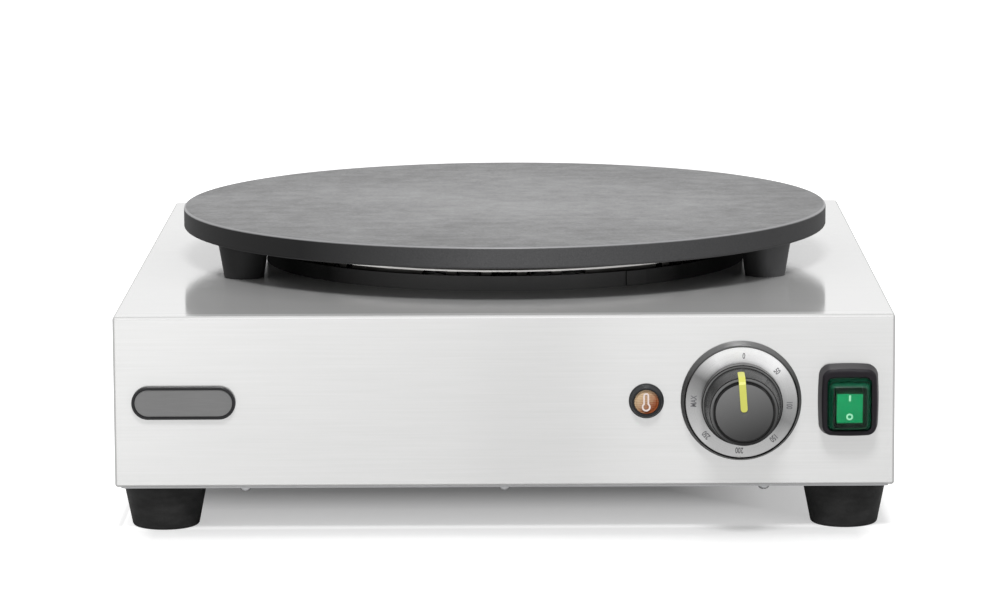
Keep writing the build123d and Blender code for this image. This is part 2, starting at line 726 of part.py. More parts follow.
def burner_layer(radius, top, thickness):
    """Round layer of the burner, with a hole for each thing that passes down through it."""
    with BuildPart() as layer:
        with BuildSketch(at_deck(top)):
            Circle(radius)
            for x, y, hole_r in PASSES:
                with Locations((x, y)):
                    Circle(hole_r, mode=Mode.SUBTRACT)
        extrude(amount=-thickness)
    return layer


CUTOUT_FIXINGS = [(CUTOUT_X + side * CUTOUT_EAR_PITCH / 2, CUTOUT_BACK) for side in (-1, 1)]
insulation_disc = burner_layer(INSULATION_R, INSULATION_TOP, INSULATION_T)
with BuildPart() as insulation_board:
    add(insulation_disc.part)
    with BuildSketch(at_deck(BACKING_TOP)):
        with Locations(*CUTOUT_FIXINGS):
            Circle(SMALL_SCREW_R + THREAD_GAP)
    extrude(amount=SMALL_SCREW_L, mode=Mode.SUBTRACT)
insulation_board.part.label = "insulation_board"
export_step(insulation_board.part, "parts/insulation_board.step")

backing_disc = burner_layer(INSULATION_R, BACKING_TOP, BACKING_T)
with BuildPart() as backing_plate:
    add(backing_disc.part)
    with BuildSketch(at_deck(BACKING_TOP)):
        with Locations(*CUTOUT_FIXINGS):
            Circle(SMALL_SCREW_R + THREAD_GAP)
    extrude(amount=-BACKING_T, mode=Mode.SUBTRACT)
backing_plate.part.label = "backing_plate"
export_step(backing_plate.part, "parts/backing_plate.step")

# Bright dish under the elements. Windows in its wall leave a thin rim above them.
pan_floor = burner_layer(PAN_R, PAN_FLOOR, PAN_T)
window_angles = {WIDE_WINDOW: [], NARROW_WINDOW: []}
for sector in STUD_ANGLES:
    middle = sector + 180.0
    window_angles[WIDE_WINDOW] += [middle + step * WIDE_PITCH for step in (-2, -1, 0, 1, 2)]
    for side in (-1, 1):
        window_angles[NARROW_WINDOW] += [
            middle + side * (NARROW_START + step * NARROW_PITCH) for step in range(4)
        ]
with BuildPart() as reflector_pan:
    add(pan_floor.part)
    with BuildSketch(at_deck(PAN_FLOOR)):
        Circle(PAN_R)
        Circle(PAN_R - PAN_T, mode=Mode.SUBTRACT)
    extrude(amount=PAN_DEPTH + PAN_RISE)
    for window_w, angles in window_angles.items():
        with Locations(*[
            Plane(
                origin=(polar(PAN_R, a)[0], GRIDDLE_Y + polar(PAN_R, a)[1],
                        DECK_Z + PAN_RISE - PAN_RIM - WINDOW_H / 2),
                x_dir=(-sin(radians(a)), cos(radians(a)), 0),
                z_dir=(cos(radians(a)), sin(radians(a)), 0),
            )
            for a in angles
        ]):
            Box(window_w, WINDOW_H, 4 * PAN_T, mode=Mode.SUBTRACT)
reflector_pan.part.label = "reflector_pan"
export_step(reflector_pan.part, "parts/reflector_pan.step")


def ring_element(ring_r, gap_angle):
    """Tubular ring element whose two ends turn down side by side and end in terminal pins."""
    half = leg_half_angle(ring_r)
    leg_l = ELEMENT_MID - ELEMENT_BEND_R - TERMINAL_LOW
    with BuildPart() as element:
        with BuildLine(at_deck(ELEMENT_MID)) as path:
            ring = CenterArc((0, 0), ring_r, gap_angle + half, 360 - 2 * half)
            for start, heading in ((ring @ 0, -(ring % 0)), (ring @ 1, ring % 1)):
                corner = start + heading * ELEMENT_BEND_R
                bend_end = corner + Vector(0, 0, -ELEMENT_BEND_R)
                TangentArc(start, bend_end, tangent=heading)
                Line(bend_end, bend_end + Vector(0, 0, -leg_l))
        wire = path.wire()
        with BuildSketch(Plane(origin=wire @ 0, z_dir=wire % 0)):
            Circle(ELEMENT_R)
        sweep(path=wire)
        with BuildSketch(at_deck(TERMINAL_LOW)):
            with Locations(*leg_spots(ring_r, gap_angle)):
                Circle(PIN_R)
        extrude(amount=-PIN_L)
    return element


for element_name, ring_r, gap in zip(
    ("element_inner", "element_middle", "element_outer"), RING_RADII, RING_GAP_ANGLES
):
    element_piece = ring_element(ring_r, gap)
    element_piece.part.label = element_name
    export_step(element_piece.part, f"parts/{element_name}.step")

# Three-armed plate that presses the elements up against the griddle.
with BuildPart() as element_clamp:
    with BuildSketch(at_deck(CLAMP_LOW)):
        Circle(CLAMP_HUB_R)
        for angle in STUD_ANGLES:
            with Locations(Location((0, 0, 0), (0, 0, 1), angle)):
                Rectangle(CLAMP_ARM_L, CLAMP_ARM_W, align=(Align.MIN, Align.CENTER))
        with Locations(*STUD_SPOTS):
            Circle(STUD_R + HOLE_GAP, mode=Mode.SUBTRACT)
        Circle(TIE_R + HOLE_GAP, mode=Mode.SUBTRACT)
    extrude(amount=CLAMP_T)
element_clamp.part.label = "element_clamp"
export_step(element_clamp.part, "parts/element_clamp.step")

with BuildPart() as griddle_studs:
    with BuildSketch(at_deck(UNDERSIDE + THREAD_DEPTH)):
        with Locations(*STUD_SPOTS):
            Circle(STUD_R)
    extrude(amount=STUD_LOW - UNDERSIDE - THREAD_DEPTH)
griddle_studs.part.label = "griddle_studs"
export_step(griddle_studs.part, "parts/griddle_studs.step")

stud_nut = hex_nut(STUD_NUT_AF, STUD_NUT_H, STUD_R + THREAD_GAP)
with BuildPart() as stud_nuts:
    with Locations(*[
        (x, GRIDDLE_Y + y, DECK_Z + low - STUD_NUT_H)
        for x, y in STUD_SPOTS for low in (CLAMP_LOW, BACKING_LOW)
    ]):
        add(stud_nut)
stud_nuts.part.label = "stud_nuts"
export_step(stud_nuts.part, "parts/stud_nuts.step")

spacer_l = CLAMP_LOW - STUD_NUT_H - PAN_FLOOR
stud_spacer = tube(STUD_R + SPACER_T, STUD_R + HOLE_GAP, spacer_l)
with BuildPart() as stud_spacers:
    with Locations(*[(x, GRIDDLE_Y + y, DECK_Z + PAN_FLOOR) for x, y in STUD_SPOTS]):
        add(stud_spacer)
stud_spacers.part.label = "stud_spacers"
export_step(stud_spacers.part, "parts/stud_spacers.step")

# Hat-shaped bar under the deck that the tie rod pulls the griddle down against.
with BuildPart() as hold_down_bridge:
    with BuildSketch(GRIDDLE_SECTION):
        with Locations((0, BRIDGE_LOW)):
            Rectangle(2 * BRIDGE_LEG_X, BRIDGE_T, align=(Align.CENTER, Align.MIN))
        for side in (-1, 1):
            outer = Align.MAX if side > 0 else Align.MIN
            inner = Align.MIN if side > 0 else Align.MAX
            with Locations((side * BRIDGE_LEG_X, BRIDGE_LOW)):
                Rectangle(BRIDGE_T, -SHEET - BRIDGE_LOW, align=(outer, Align.MIN))
            with Locations((side * (BRIDGE_LEG_X - BRIDGE_T), -SHEET)):
                Rectangle(BRIDGE_FOOT, BRIDGE_T, align=(inner, Align.MAX))
    extrude(amount=BRIDGE_W / 2, both=True)
    with Locations((0, GRIDDLE_Y, DECK_Z + BRIDGE_LOW)):
        Cylinder(TIE_R + HOLE_GAP, 3 * BRIDGE_T, mode=Mode.SUBTRACT)
hold_down_bridge.part.label = "hold_down_bridge"
export_step(hold_down_bridge.part, "parts/hold_down_bridge.step")

with BuildPart() as tie_rod:
    with BuildSketch(at_deck(UNDERSIDE + THREAD_DEPTH)):
        Circle(TIE_R)
    extrude(amount=TIE_LOW - UNDERSIDE - THREAD_DEPTH)
    chamfer(tie_rod.edges().group_by(Axis.Z)[0], TIE_CHAMFER)
tie_rod.part.label = "tie_rod"
export_step(tie_rod.part, "parts/tie_rod.step")

with BuildPart() as tie_washer:
    with BuildSketch(at_deck(BRIDGE_LOW)):
        Circle(TIE_WASHER_R)
        Circle(TIE_R + HOLE_GAP, mode=Mode.SUBTRACT)
    extrude(amount=-TIE_WASHER_T)
tie_washer.part.label = "tie_washer"
export_step(tie_washer.part, "parts/tie_washer.step")

# Coned washers, stacked in turn, that keep the pull as the griddle grows with heat.
SPRING_TOP = BRIDGE_LOW - TIE_WASHER_T
DISC_H = DISC_T + DISC_CONE
with BuildPart() as tie_springs:
    for index in range(DISC_COUNT):
        top = SPRING_TOP - index * DISC_H
        rim, eye = (DISC_CONE, 0.0) if index % 2 else (0.0, DISC_CONE)
        with BuildSketch(GRIDDLE_SECTION):
            with BuildLine():
                Polyline(
                    (TIE_R + HOLE_GAP, top - eye),
                    (DISC_R, top - rim),
                    (DISC_R, top - rim - DISC_T),
                    (TIE_R + HOLE_GAP, top - eye - DISC_T),
                    close=True,
                )
            make_face()
        revolve(axis=GRIDDLE_AXIS)
tie_springs.part.label = "tie_springs"
export_step(tie_springs.part, "parts/tie_springs.step")

tie_nut = hex_nut(TIE_NUT_AF, TIE_NUT_H, TIE_R + THREAD_GAP)
TIE_NUT_TOP = SPRING_TOP - DISC_COUNT * DISC_H
with BuildPart() as tie_nut_upper:
    with Locations((0, GRIDDLE_Y, DECK_Z + TIE_NUT_TOP - TIE_NUT_H)):
        add(tie_nut)
with BuildPart() as tie_nut_lower:
    with Locations((0, GRIDDLE_Y, DECK_Z + TIE_NUT_TOP - 2 * TIE_NUT_H - COLLAR_GAP)):
        add(tie_nut)
tie_nuts = Compound(label="tie_nuts", children=[tie_nut_upper.part, tie_nut_lower.part])
export_step(tie_nuts, "parts/tie_nuts.step")

BULB_Z = DECK_Z + UNDERSIDE - ELEMENT_GAP - BULB_R
BULB_Y = GRIDDLE_Y - BULB_OFFSET
with BuildPart() as thermostat_bulb:
    with BuildSketch(Plane((-BULB_L / 2, BULB_Y, BULB_Z), x_dir=(0, 1, 0), z_dir=(1, 0, 0))):
        Circle(BULB_R)
    extrude(amount=BULB_L)
    fillet(thermostat_bulb.edges(), CAPILLARY_R)
thermostat_bulb.part.label = "thermostat_bulb"
export_step(thermostat_bulb.part, "parts/thermostat_bulb.step")

# Strap that cups the bulb from below and is screwed to the griddle by one ear.
with BuildPart() as bulb_clip:
    with BuildSketch(Plane((-CLIP_W / 2, BULB_Y, BULB_Z), x_dir=(0, 1, 0), z_dir=(1, 0, 0))):
        Circle(BULB_R + ELEMENT_GAP + CLIP_T)
        with Locations((0, 0)):
            Rectangle(2 * (BULB_R + ELEMENT_GAP + CLIP_T), BULB_R + ELEMENT_GAP,
                      align=(Align.CENTER, Align.MIN))
        with Locations((BULB_R, BULB_R + ELEMENT_GAP)):
            Rectangle(CLIP_EAR, CLIP_T, align=(Align.MIN, Align.MAX))
        Circle(BULB_R + ELEMENT_GAP, mode=Mode.SUBTRACT)
        Rectangle(2 * (BULB_R + ELEMENT_GAP), 2 * BULB_R, align=(Align.CENTER, Align.MIN),
                  mode=Mode.SUBTRACT)
    extrude(amount=CLIP_W)
    with Locations((0, GRIDDLE_Y + CLIP_SCREW_Y, DECK_Z + UNDERSIDE)):
        Cylinder(SMALL_SCREW_R + HOLE_GAP, 3 * CLIP_T, mode=Mode.SUBTRACT)
bulb_clip.part.label = "bulb_clip"
export_step(bulb_clip.part, "parts/bulb_clip.step")

# Bimetal cut-out under the backing plate: a button body between two ears, with two tabs.
with BuildPart() as safety_cutout:
    with BuildSketch(at_deck(BACKING_LOW)):
        with Locations((CUTOUT_X, CUTOUT_BACK)):
            SlotCenterToCenter(CUTOUT_EAR_PITCH, CUTOUT_R)
            with GridLocations(CUTOUT_EAR_PITCH, 0, 2, 1):
                Circle(SMALL_SCREW_R + HOLE_GAP, mode=Mode.SUBTRACT)
    extrude(amount=-CLIP_T)
    with BuildSketch(at_deck(BACKING_LOW - CLIP_T)):
        with Locations((CUTOUT_X, CUTOUT_BACK)):
            Circle(CUTOUT_R)
    extrude(amount=-CUTOUT_H)
    with BuildSketch(at_deck(BACKING_LOW - CLIP_T - CUTOUT_H)):
        with Locations((CUTOUT_X, CUTOUT_BACK)):
            with GridLocations(0, CUTOUT_R, 1, 2):
                Rectangle(SPADE_W, SPADE_T)
    extrude(amount=-SPADE_L)
safety_cutout.part.label = "safety_cutout"
export_step(safety_cutout.part, "parts/safety_cutout.step")

small_screw = screw(SMALL_HEAD_R, SMALL_HEAD_H, SMALL_SCREW_R, SMALL_SCREW_L)
with BuildPart() as small_screws:
    with Locations(
        Plane((0, GRIDDLE_Y + CLIP_SCREW_Y, DECK_Z + UNDERSIDE - CLIP_T), z_dir=DOWN),
        *[Plane((x, GRIDDLE_Y + y, DECK_Z + BACKING_LOW - CLIP_T), z_dir=DOWN) for x, y in CUTOUT_FIXINGS],
        *[Plane((x, y, BASE_Z - SHEET), z_dir=DOWN) for x, y in BLOCK_FIXINGS],
    ):
        add(small_screw)
small_screws.part.label = "small_screws"
export_step(small_screws.part, "parts/small_screws.step")

# =============================================================================
# Front controls
# =============================================================================

# Black dish under the knob, with a ledge for the dial ring.
LEDGE = BEZEL_H - BEZEL_LIP_PROUD - DIAL_RING_T
BEZEL_LIP_R = BEZEL_WELL_R + BEZEL_LIP_T
with BuildPart() as dial_bezel:
    with BuildSketch(front_section(DIAL_X)):
        with BuildLine():
            Polyline(
                (SHAFT_HOLE_R, 0),
                (BEZEL_BASE_R, 0),
                (BEZEL_BASE_R, BEZEL_EDGE_H),
                (BEZEL_FACE_R, BEZEL_H),
                (DIAL_RING_R + DIAL_RING_GAP, BEZEL_H),
                (DIAL_RING_R + DIAL_RING_GAP, LEDGE),
                (BEZEL_LIP_R, LEDGE),
                (BEZEL_LIP_R, BEZEL_H),
                (BEZEL_WELL_R, BEZEL_H),
                (BEZEL_WELL_R, BEZEL_FLOOR),
                (SHAFT_HOLE_R, BEZEL_FLOOR),
                close=True,
            )
        make_face()
    revolve(axis=front_axis(DIAL_X))
    with BuildSketch(on_front(DIAL_X)):
        with GridLocations(FIXING_PITCH, 0, 2, 1):
            Circle(SMALL_SCREW_R + HOLE_GAP)
    extrude(amount=BEZEL_FLOOR, mode=Mode.SUBTRACT)
dial_bezel.part.label = "dial_bezel"
export_step(dial_bezel.part, "parts/dial_bezel.step")

# Spun metal ring with a small index notch at the bottom.
with BuildPart() as dial_ring:
    with BuildSketch(on_front(DIAL_X, out=LEDGE)):
        Circle(DIAL_RING_R)
        Circle(BEZEL_LIP_R + DIAL_RING_GAP, mode=Mode.SUBTRACT)
        with Locations(Location((0, 0, 0), (0, 0, 1), -DIAL_TURN)):
            with Locations((0, -DIAL_RING_R)):
                Circle(DIAL_NOTCH, mode=Mode.SUBTRACT)
    extrude(amount=DIAL_RING_T)
dial_ring.part.label = "dial_ring"
export_step(dial_ring.part, "parts/dial_ring.step")

KNOB_BACK = BEZEL_H + KNOB_LIFT
GROOVE_FLOOR = KNOB_TOP_OUT - GROOVE_DEPTH
CAP_EDGE_OUT = KNOB_REACH - CAP_DOME
CAVITY_OUT = KNOB_TOP_OUT - KNOB_WALL
SHAFT_TIP = KNOB_BACK + SHAFT_IN_KNOB
# Radius-and-reach outline that the pointer follows, from the shoulder to the middle of the cap.
neck_slope = (KNOB_TOP_R - KNOB_NECK_R) / (KNOB_TOP_OUT - KNOB_SKIRT_OUT)
pointer_start_r = KNOB_NECK_R + neck_slope * (POINTER_START_OUT - KNOB_SKIRT_OUT)
with BuildPart() as pointer_block:
    with BuildSketch(Plane((DIAL_X, FRONT_Y, CONTROL_Z), x_dir=UP, z_dir=(1, 0, 0))):
        with BuildLine():
            Polyline(
                (pointer_start_r + POINTER_PROUD, POINTER_START_OUT),
                (KNOB_TOP_R + POINTER_PROUD, KNOB_TOP_OUT),
                (KNOB_CAP_R + POINTER_PROUD, CAP_EDGE_OUT),
                (KNOB_CAP_R - CAP_BEVEL, KNOB_REACH + POINTER_PROUD / 2),
                (POINTER_END_R, KNOB_REACH + POINTER_PROUD),
                (POINTER_END_R, KNOB_REACH - POINTER_DEPTH),
                (KNOB_CAP_R - POINTER_DEPTH, CAP_EDGE_OUT - CAP_BEVEL),
                (KNOB_TOP_R - 2 * POINTER_SINK, KNOB_TOP_OUT - POINTER_SINK),
                (pointer_start_r - POINTER_SINK, POINTER_START_OUT),
                close=True,
            )
        make_face()
    extrude(amount=POINTER_W / 2, both=True)
    pointer_end = pointer_block.edges().filter_by(Axis.Y).group_by(Axis.Z)[0]
    fillet(pointer_end, POINTER_END_CORNER_R)
    pointer_tip = pointer_block.edges().filter_by(Axis.Z).group_by(Axis.Y)[-1]
    fillet(pointer_tip, POINTER_TIP_CORNER_R)
with BuildPart() as knob_pointer:
    add(pointer_block.part.rotate(front_axis(DIAL_X), POINTER_REST))
knob_pointer.part.label = "knob_pointer"
export_step(knob_pointer.part, "parts/knob_pointer.step")

with BuildPart() as control_knob:
    with BuildSketch(front_section(DIAL_X)):
        with BuildLine():
            Polyline(
                (0, KNOB_REACH),
                (0, SHAFT_TIP + END_PLAY),
                (SHAFT_R + SHAFT_GAP, SHAFT_TIP + END_PLAY),
                (SHAFT_R + SHAFT_GAP, KNOB_BACK + KNOB_WALL),
                (HUB_R, KNOB_BACK + KNOB_WALL),
                (HUB_R, CAVITY_OUT),
                (KNOB_TOP_R - KNOB_WALL, CAVITY_OUT),
                (KNOB_NECK_R - KNOB_WALL, KNOB_SKIRT_OUT),
                (KNOB_SKIRT_R - KNOB_WALL, KNOB_SKIRT_OUT - KNOB_WALL),
                (KNOB_SKIRT_R - KNOB_WALL, KNOB_BACK),
                (KNOB_SKIRT_R - KNOB_EASE, KNOB_BACK),
                (KNOB_SKIRT_R, KNOB_BACK + KNOB_EASE),
                (KNOB_SKIRT_R, KNOB_SKIRT_OUT - KNOB_EASE),
                (KNOB_SKIRT_R - KNOB_EASE, KNOB_SKIRT_OUT),
                (KNOB_NECK_R, KNOB_SKIRT_OUT),
                (KNOB_TOP_R, KNOB_TOP_OUT),
                (KNOB_TOP_R - KNOB_EASE, KNOB_TOP_OUT + KNOB_RIM_H),
                (KNOB_CAP_R + GROOVE_W, KNOB_TOP_OUT + KNOB_RIM_H),
                (KNOB_CAP_R + GROOVE_W, GROOVE_FLOOR),
                (KNOB_CAP_R, GROOVE_FLOOR),
                (KNOB_CAP_R, CAP_EDGE_OUT - CAP_BEVEL),
                (KNOB_CAP_R - CAP_BEVEL, CAP_EDGE_OUT),
            )
            TangentArc((0, KNOB_REACH), (KNOB_CAP_R - CAP_BEVEL, CAP_EDGE_OUT), tangent=(1, 0))
        make_face()
    revolve(axis=front_axis(DIAL_X))
    add(knob_pointer.part, mode=Mode.SUBTRACT)
control_knob.part.label = "control_knob"
export_step(control_knob.part, "parts/control_knob.step")

with BuildPart() as thermostat_shaft:
    with BuildSketch(on_front(DIAL_X, out=-SHEET - BRACKET_T - SHAFT_IN)):
        Circle(SHAFT_R)
    extrude(amount=SHEET + BRACKET_T + SHAFT_IN + SHAFT_TIP)
thermostat_shaft.part.label = "thermostat_shaft"
export_step(thermostat_shaft.part, "parts/thermostat_shaft.step")

# Moulded body on a steel bracket, with a bush round the shaft and four spade tabs behind.
THERMOSTAT_BACK_Y = FRONT_Y + SHEET + BRACKET_T + THERMOSTAT_D
with BuildPart() as thermostat_body:
    with BuildSketch(on_front(DIAL_X, out=-SHEET)):
        RectangleRounded(BRACKET_W, BRACKET_H, BRACKET_CORNER_R)
    extrude(amount=-BRACKET_T)
    with BuildSketch(on_front(DIAL_X, out=-SHEET - BRACKET_T)):
        RectangleRounded(THERMOSTAT_W, THERMOSTAT_W, THERMOSTAT_CORNER_R)
    extrude(amount=-THERMOSTAT_D)
    with BuildSketch(on_front(DIAL_X, out=-SHEET)):
        Circle(BUSH_R)
    extrude(amount=SHEET)
    with BuildSketch(on_front(DIAL_X)):
        Circle(SHAFT_R + SHAFT_GAP)
    extrude(amount=-SHEET - BRACKET_T - SHAFT_IN - END_PLAY, mode=Mode.SUBTRACT)
    with BuildSketch(on_front(DIAL_X, out=-SHEET)):
        with GridLocations(FIXING_PITCH, 0, 2, 1):
            Circle(SMALL_SCREW_R + THREAD_GAP)
    extrude(amount=-BRACKET_T - FIXING_HOLE_IN, mode=Mode.SUBTRACT)
    with BuildSketch(on_front(DIAL_X, out=FRONT_Y - THERMOSTAT_BACK_Y)):
        with GridLocations(2 * THERMOSTAT_TAB_X, 2 * THERMOSTAT_TAB_Z, 2, 2):
            Rectangle(SPADE_W, SPADE_T)
    extrude(amount=-SPADE_L)
thermostat_body.part.label = "thermostat_body"
export_step(thermostat_body.part, "parts/thermostat_body.step")

FIXING_L = BEZEL_FLOOR + SHEET + BRACKET_T + FIXING_IN
fixing_screw = screw(SMALL_HEAD_R, FIXING_HEAD_H, SMALL_SCREW_R, FIXING_L)
with BuildPart() as thermostat_screws:
    with Locations(on_front(DIAL_X, out=BEZEL_FLOOR)):
        with GridLocations(FIXING_PITCH, 0, 2, 1):
            add(fixing_screw)
thermostat_screws.part.label = "thermostat_screws"
export_step(thermostat_screws.part, "parts/thermostat_screws.step")

with BuildPart() as lamp_bezel:
    with BuildSketch(front_section(LAMP_X)):
        with BuildLine():
            Polyline(
                (LAMP_BARREL_R + HOLE_GAP, 0),
                (LAMP_BEZEL_R, 0),
                (LAMP_BEZEL_R, LAMP_FOOT_H),
                (LAMP_BEZEL_R - LAMP_FOOT_BEVEL, 2 * LAMP_FOOT_H),
                (LAMP_FACE_R + LAMP_EDGE, LAMP_REACH - LAMP_EDGE),
                (LAMP_FACE_R, LAMP_REACH),
                (LAMP_LENS_R + LAMP_EDGE, LAMP_REACH),
                (LAMP_LENS_R + LAMP_LENS_GAP, LAMP_REACH - LAMP_EDGE),
                (LAMP_LENS_R + LAMP_LENS_GAP, LENS_SEAT),
                (LAMP_BARREL_R + HOLE_GAP, LENS_SEAT),
                close=True,
            )
        make_face()
    revolve(axis=front_axis(LAMP_X))
lamp_bezel.part.label = "lamp_bezel"
export_step(lamp_bezel.part, "parts/lamp_bezel.step")

with BuildPart() as lamp_lens:
    with BuildSketch(front_section(LAMP_X)):
        with BuildLine():
            Line((0, LENS_BACK), (LAMP_LENS_R, LENS_BACK))
            Line((LAMP_LENS_R, LENS_BACK), (LAMP_LENS_R, LENS_EDGE))
            TangentArc((0, LENS_TOP), (LAMP_LENS_R, LENS_EDGE), tangent=(1, 0))
            Line((0, LENS_TOP), (0, LENS_BACK))
        make_face()
    revolve(axis=front_axis(LAMP_X))
lamp_lens.part.label = "lamp_lens"
export_step(lamp_lens.part, "parts/lamp_lens.step")

with BuildPart() as lamp_body:
    with BuildSketch(on_front(LAMP_X, out=LENS_SEAT)):
        Circle(LAMP_LENS_R)
    extrude(amount=LENS_BACK - LENS_SEAT)
    with BuildSketch(on_front(LAMP_X, out=LENS_SEAT)):
        Circle(LAMP_BARREL_R)
    extrude(amount=-LAMP_BARREL_L)
    with BuildSketch(on_front(LAMP_X, out=LENS_SEAT - LAMP_BARREL_L)):
        with GridLocations(0, 2 * LAMP_TAB_Z, 1, 2):
            Rectangle(LAMP_TAB_W, SPADE_T)
    extrude(amount=-SPADE_L)
lamp_body.part.label = "lamp_body"
export_step(lamp_body.part, "parts/lamp_body.step")

lamp_ring_nut = hex_nut(LAMP_NUT_AF, LAMP_NUT_H, LAMP_BARREL_R + THREAD_GAP)
with BuildPart() as lamp_nut:
    with Locations(on_front(LAMP_X, out=-SHEET - LAMP_NUT_H)):
        add(lamp_ring_nut)
lamp_nut.part.label = "lamp_nut"
export_step(lamp_nut.part, "parts/lamp_nut.step")

PIVOT_PLANE = Plane((SWITCH_X, FRONT_Y - PIVOT_OUT, SWITCH_Z), z_dir=(1, 0, 0))

# Snap-in switch housing with a well for the rocker and holes for its pivots.
with BuildPart() as switch_body:
    with BuildSketch(on_switch()):
        RectangleRounded(SWITCH_FLANGE_W, SWITCH_FLANGE_H, FLANGE_CORNER_R)
    extrude(amount=SWITCH_FLANGE_T)
    with BuildSketch(on_switch()):
        Rectangle(SWITCH_W, SWITCH_H)
    extrude(amount=-SWITCH_D)
    with BuildSketch(on_switch(out=SWITCH_FLANGE_T)):
        Rectangle(WELL_W, WELL_H)
    extrude(amount=-WELL_D - SWITCH_FLANGE_T, mode=Mode.SUBTRACT)
    with Locations(PIVOT_PLANE):
        Cylinder(PIVOT_R + PIVOT_GAP, ROCKER_W + 2 * PIVOT_L + 2 * PIVOT_END_GAP, mode=Mode.SUBTRACT)
    with BuildSketch(on_switch(out=-SWITCH_D)):
        with GridLocations(2 * SWITCH_TAB_X, 2 * SWITCH_TAB_Z, 2, 2):
            Rectangle(SPADE_T, SPADE_W)
    extrude(amount=-SWITCH_SPADE_L)
switch_body.part.label = "switch_body"
export_step(switch_body.part, "parts/switch_body.step")

# Rocker with a dished face and stub pivots, resting with its lower half pressed in.
rocker_section = Plane((SWITCH_X, FRONT_Y, SWITCH_Z), x_dir=UP, z_dir=(1, 0, 0))
with BuildPart() as rocker_level:
    with BuildSketch(rocker_section):
        with BuildLine():
            Polyline(
                (ROCKER_H / 2, ROCKER_FACE + ROCKER_DISH),
                (ROCKER_H / 2, PIVOT_OUT),
                (ROCKER_H / 2 - ROCKER_TAPER, -ROCKER_TAIL),
                (ROCKER_TAPER - ROCKER_H / 2, -ROCKER_TAIL),
                (-ROCKER_H / 2, PIVOT_OUT),
                (-ROCKER_H / 2, ROCKER_FACE + ROCKER_DISH),
            )
            ThreePointArc(
                (-ROCKER_H / 2, ROCKER_FACE + ROCKER_DISH),
                (0, ROCKER_FACE),
                (ROCKER_H / 2, ROCKER_FACE + ROCKER_DISH),
            )
        make_face()
    extrude(amount=ROCKER_W / 2, both=True)
    face_rim = rocker_level.edges().filter_by(Axis.X).group_by(Axis.Y)[0]
    fillet(face_rim, ROCKER_EDGE_R)
    with Locations(PIVOT_PLANE):
        Cylinder(PIVOT_R, ROCKER_W + 2 * PIVOT_L)
with BuildPart() as switch_rocker:
    add(rocker_level.part.rotate(Axis(PIVOT_PLANE.origin, PIVOT_PLANE.z_dir), ROCKER_TILT))
switch_rocker.part.label = "switch_rocker"
export_step(switch_rocker.part, "parts/switch_rocker.step")

SKIRT_W = SWITCH_FLANGE_W + 2 * BOOT_SKIRT_MARGIN
SKIRT_H = SWITCH_FLANGE_H + 2 * BOOT_SKIRT_MARGIN


def boot_solid(wall):
    """The boot's outside, or with a wall thickness its inside: a straight foot and a sloping cap."""
    foot_w = BOOT_W - 2 * wall
    foot_h = BOOT_H - 2 * wall
    corner_r = BOOT_CORNER_R - wall
    with BuildPart() as body:
        with BuildSketch(on_switch()):
            RectangleRounded(foot_w, foot_h, corner_r)
        extrude(amount=FRAME_REACH)
        with BuildSketch(on_switch(out=FRAME_REACH)):
            RectangleRounded(foot_w, foot_h, corner_r)
        with BuildSketch(on_switch(out=BOOT_REACH - wall)):
            with Locations((0, -BOOT_FACE_DROP)):
                RectangleRounded(BOOT_FACE_W - 2 * wall, BOOT_FACE_H - 2 * wall, corner_r)
        loft()
        fillet(body.faces().sort_by(Axis.Y)[0].edges(), BOOT_EDGE_R)
    return body.part


# Hollow see-through boot over the rocker, with a skirt round the switch flange.
with BuildPart() as switch_boot:
    add(boot_solid(0.0))
    with BuildSketch(on_switch()):
        RectangleRounded(SKIRT_W, SKIRT_H, BOOT_CORNER_R)
    extrude(amount=BOOT_SKIRT_T)
    add(boot_solid(BOOT_T), mode=Mode.SUBTRACT)
    with BuildSketch(on_switch()):
        RectangleRounded(SWITCH_FLANGE_W + 2 * FRAME_GAP, SWITCH_FLANGE_H + 2 * FRAME_GAP, FLANGE_CORNER_R)
    extrude(amount=SWITCH_FLANGE_T, mode=Mode.SUBTRACT)
switch_boot.part.label = "switch_boot"
export_step(switch_boot.part, "parts/switch_boot.step")


def frame_outline():
    """Four bulged sides of the boot frame, each an arc from corner to corner."""
    half_w = FRAME_W / 2
    half_h = FRAME_H / 2
    corner_w = half_w - FRAME_BULGE
    corner_h = half_h - FRAME_BULGE
    ThreePointArc((-corner_w, corner_h), (0, half_h), (corner_w, corner_h))
    ThreePointArc((corner_w, corner_h), (half_w, 0), (corner_w, -corner_h))
    ThreePointArc((corner_w, -corner_h), (0, -half_h), (-corner_w, -corner_h))
    ThreePointArc((-corner_w, -corner_h), (-half_w, 0), (-corner_w, corner_h))


# Black frame with bulged, sloping sides that clamps the boot to the panel.
with BuildPart() as switch_boot_frame:
    with BuildSketch(on_switch(lift=FRAME_LIFT)) as frame_base:
        with BuildLine():
            frame_outline()
        make_face()
        fillet(frame_base.vertices(), FRAME_CORNER_R)
    extrude(amount=FRAME_REACH, taper=FRAME_SLOPE)
    frame_face = switch_boot_frame.faces().sort_by(Axis.Y)[0]
    fillet(frame_face.edges(), FRAME_EDGE_R)
    with BuildSketch(on_switch()):
        RectangleRounded(SKIRT_W + 2 * FRAME_GAP, SKIRT_H + 2 * FRAME_GAP, BOOT_CORNER_R)
    extrude(amount=BOOT_SKIRT_T, mode=Mode.SUBTRACT)
    with BuildSketch(on_switch()):
        RectangleRounded(BOOT_W + 2 * FRAME_GAP, BOOT_H + 2 * FRAME_GAP, BOOT_CORNER_R + FRAME_GAP)
    extrude(amount=FRAME_REACH, mode=Mode.SUBTRACT)
switch_boot_frame.part.label = "switch_boot_frame"
export_step(switch_boot_frame.part, "parts/switch_boot_frame.step")

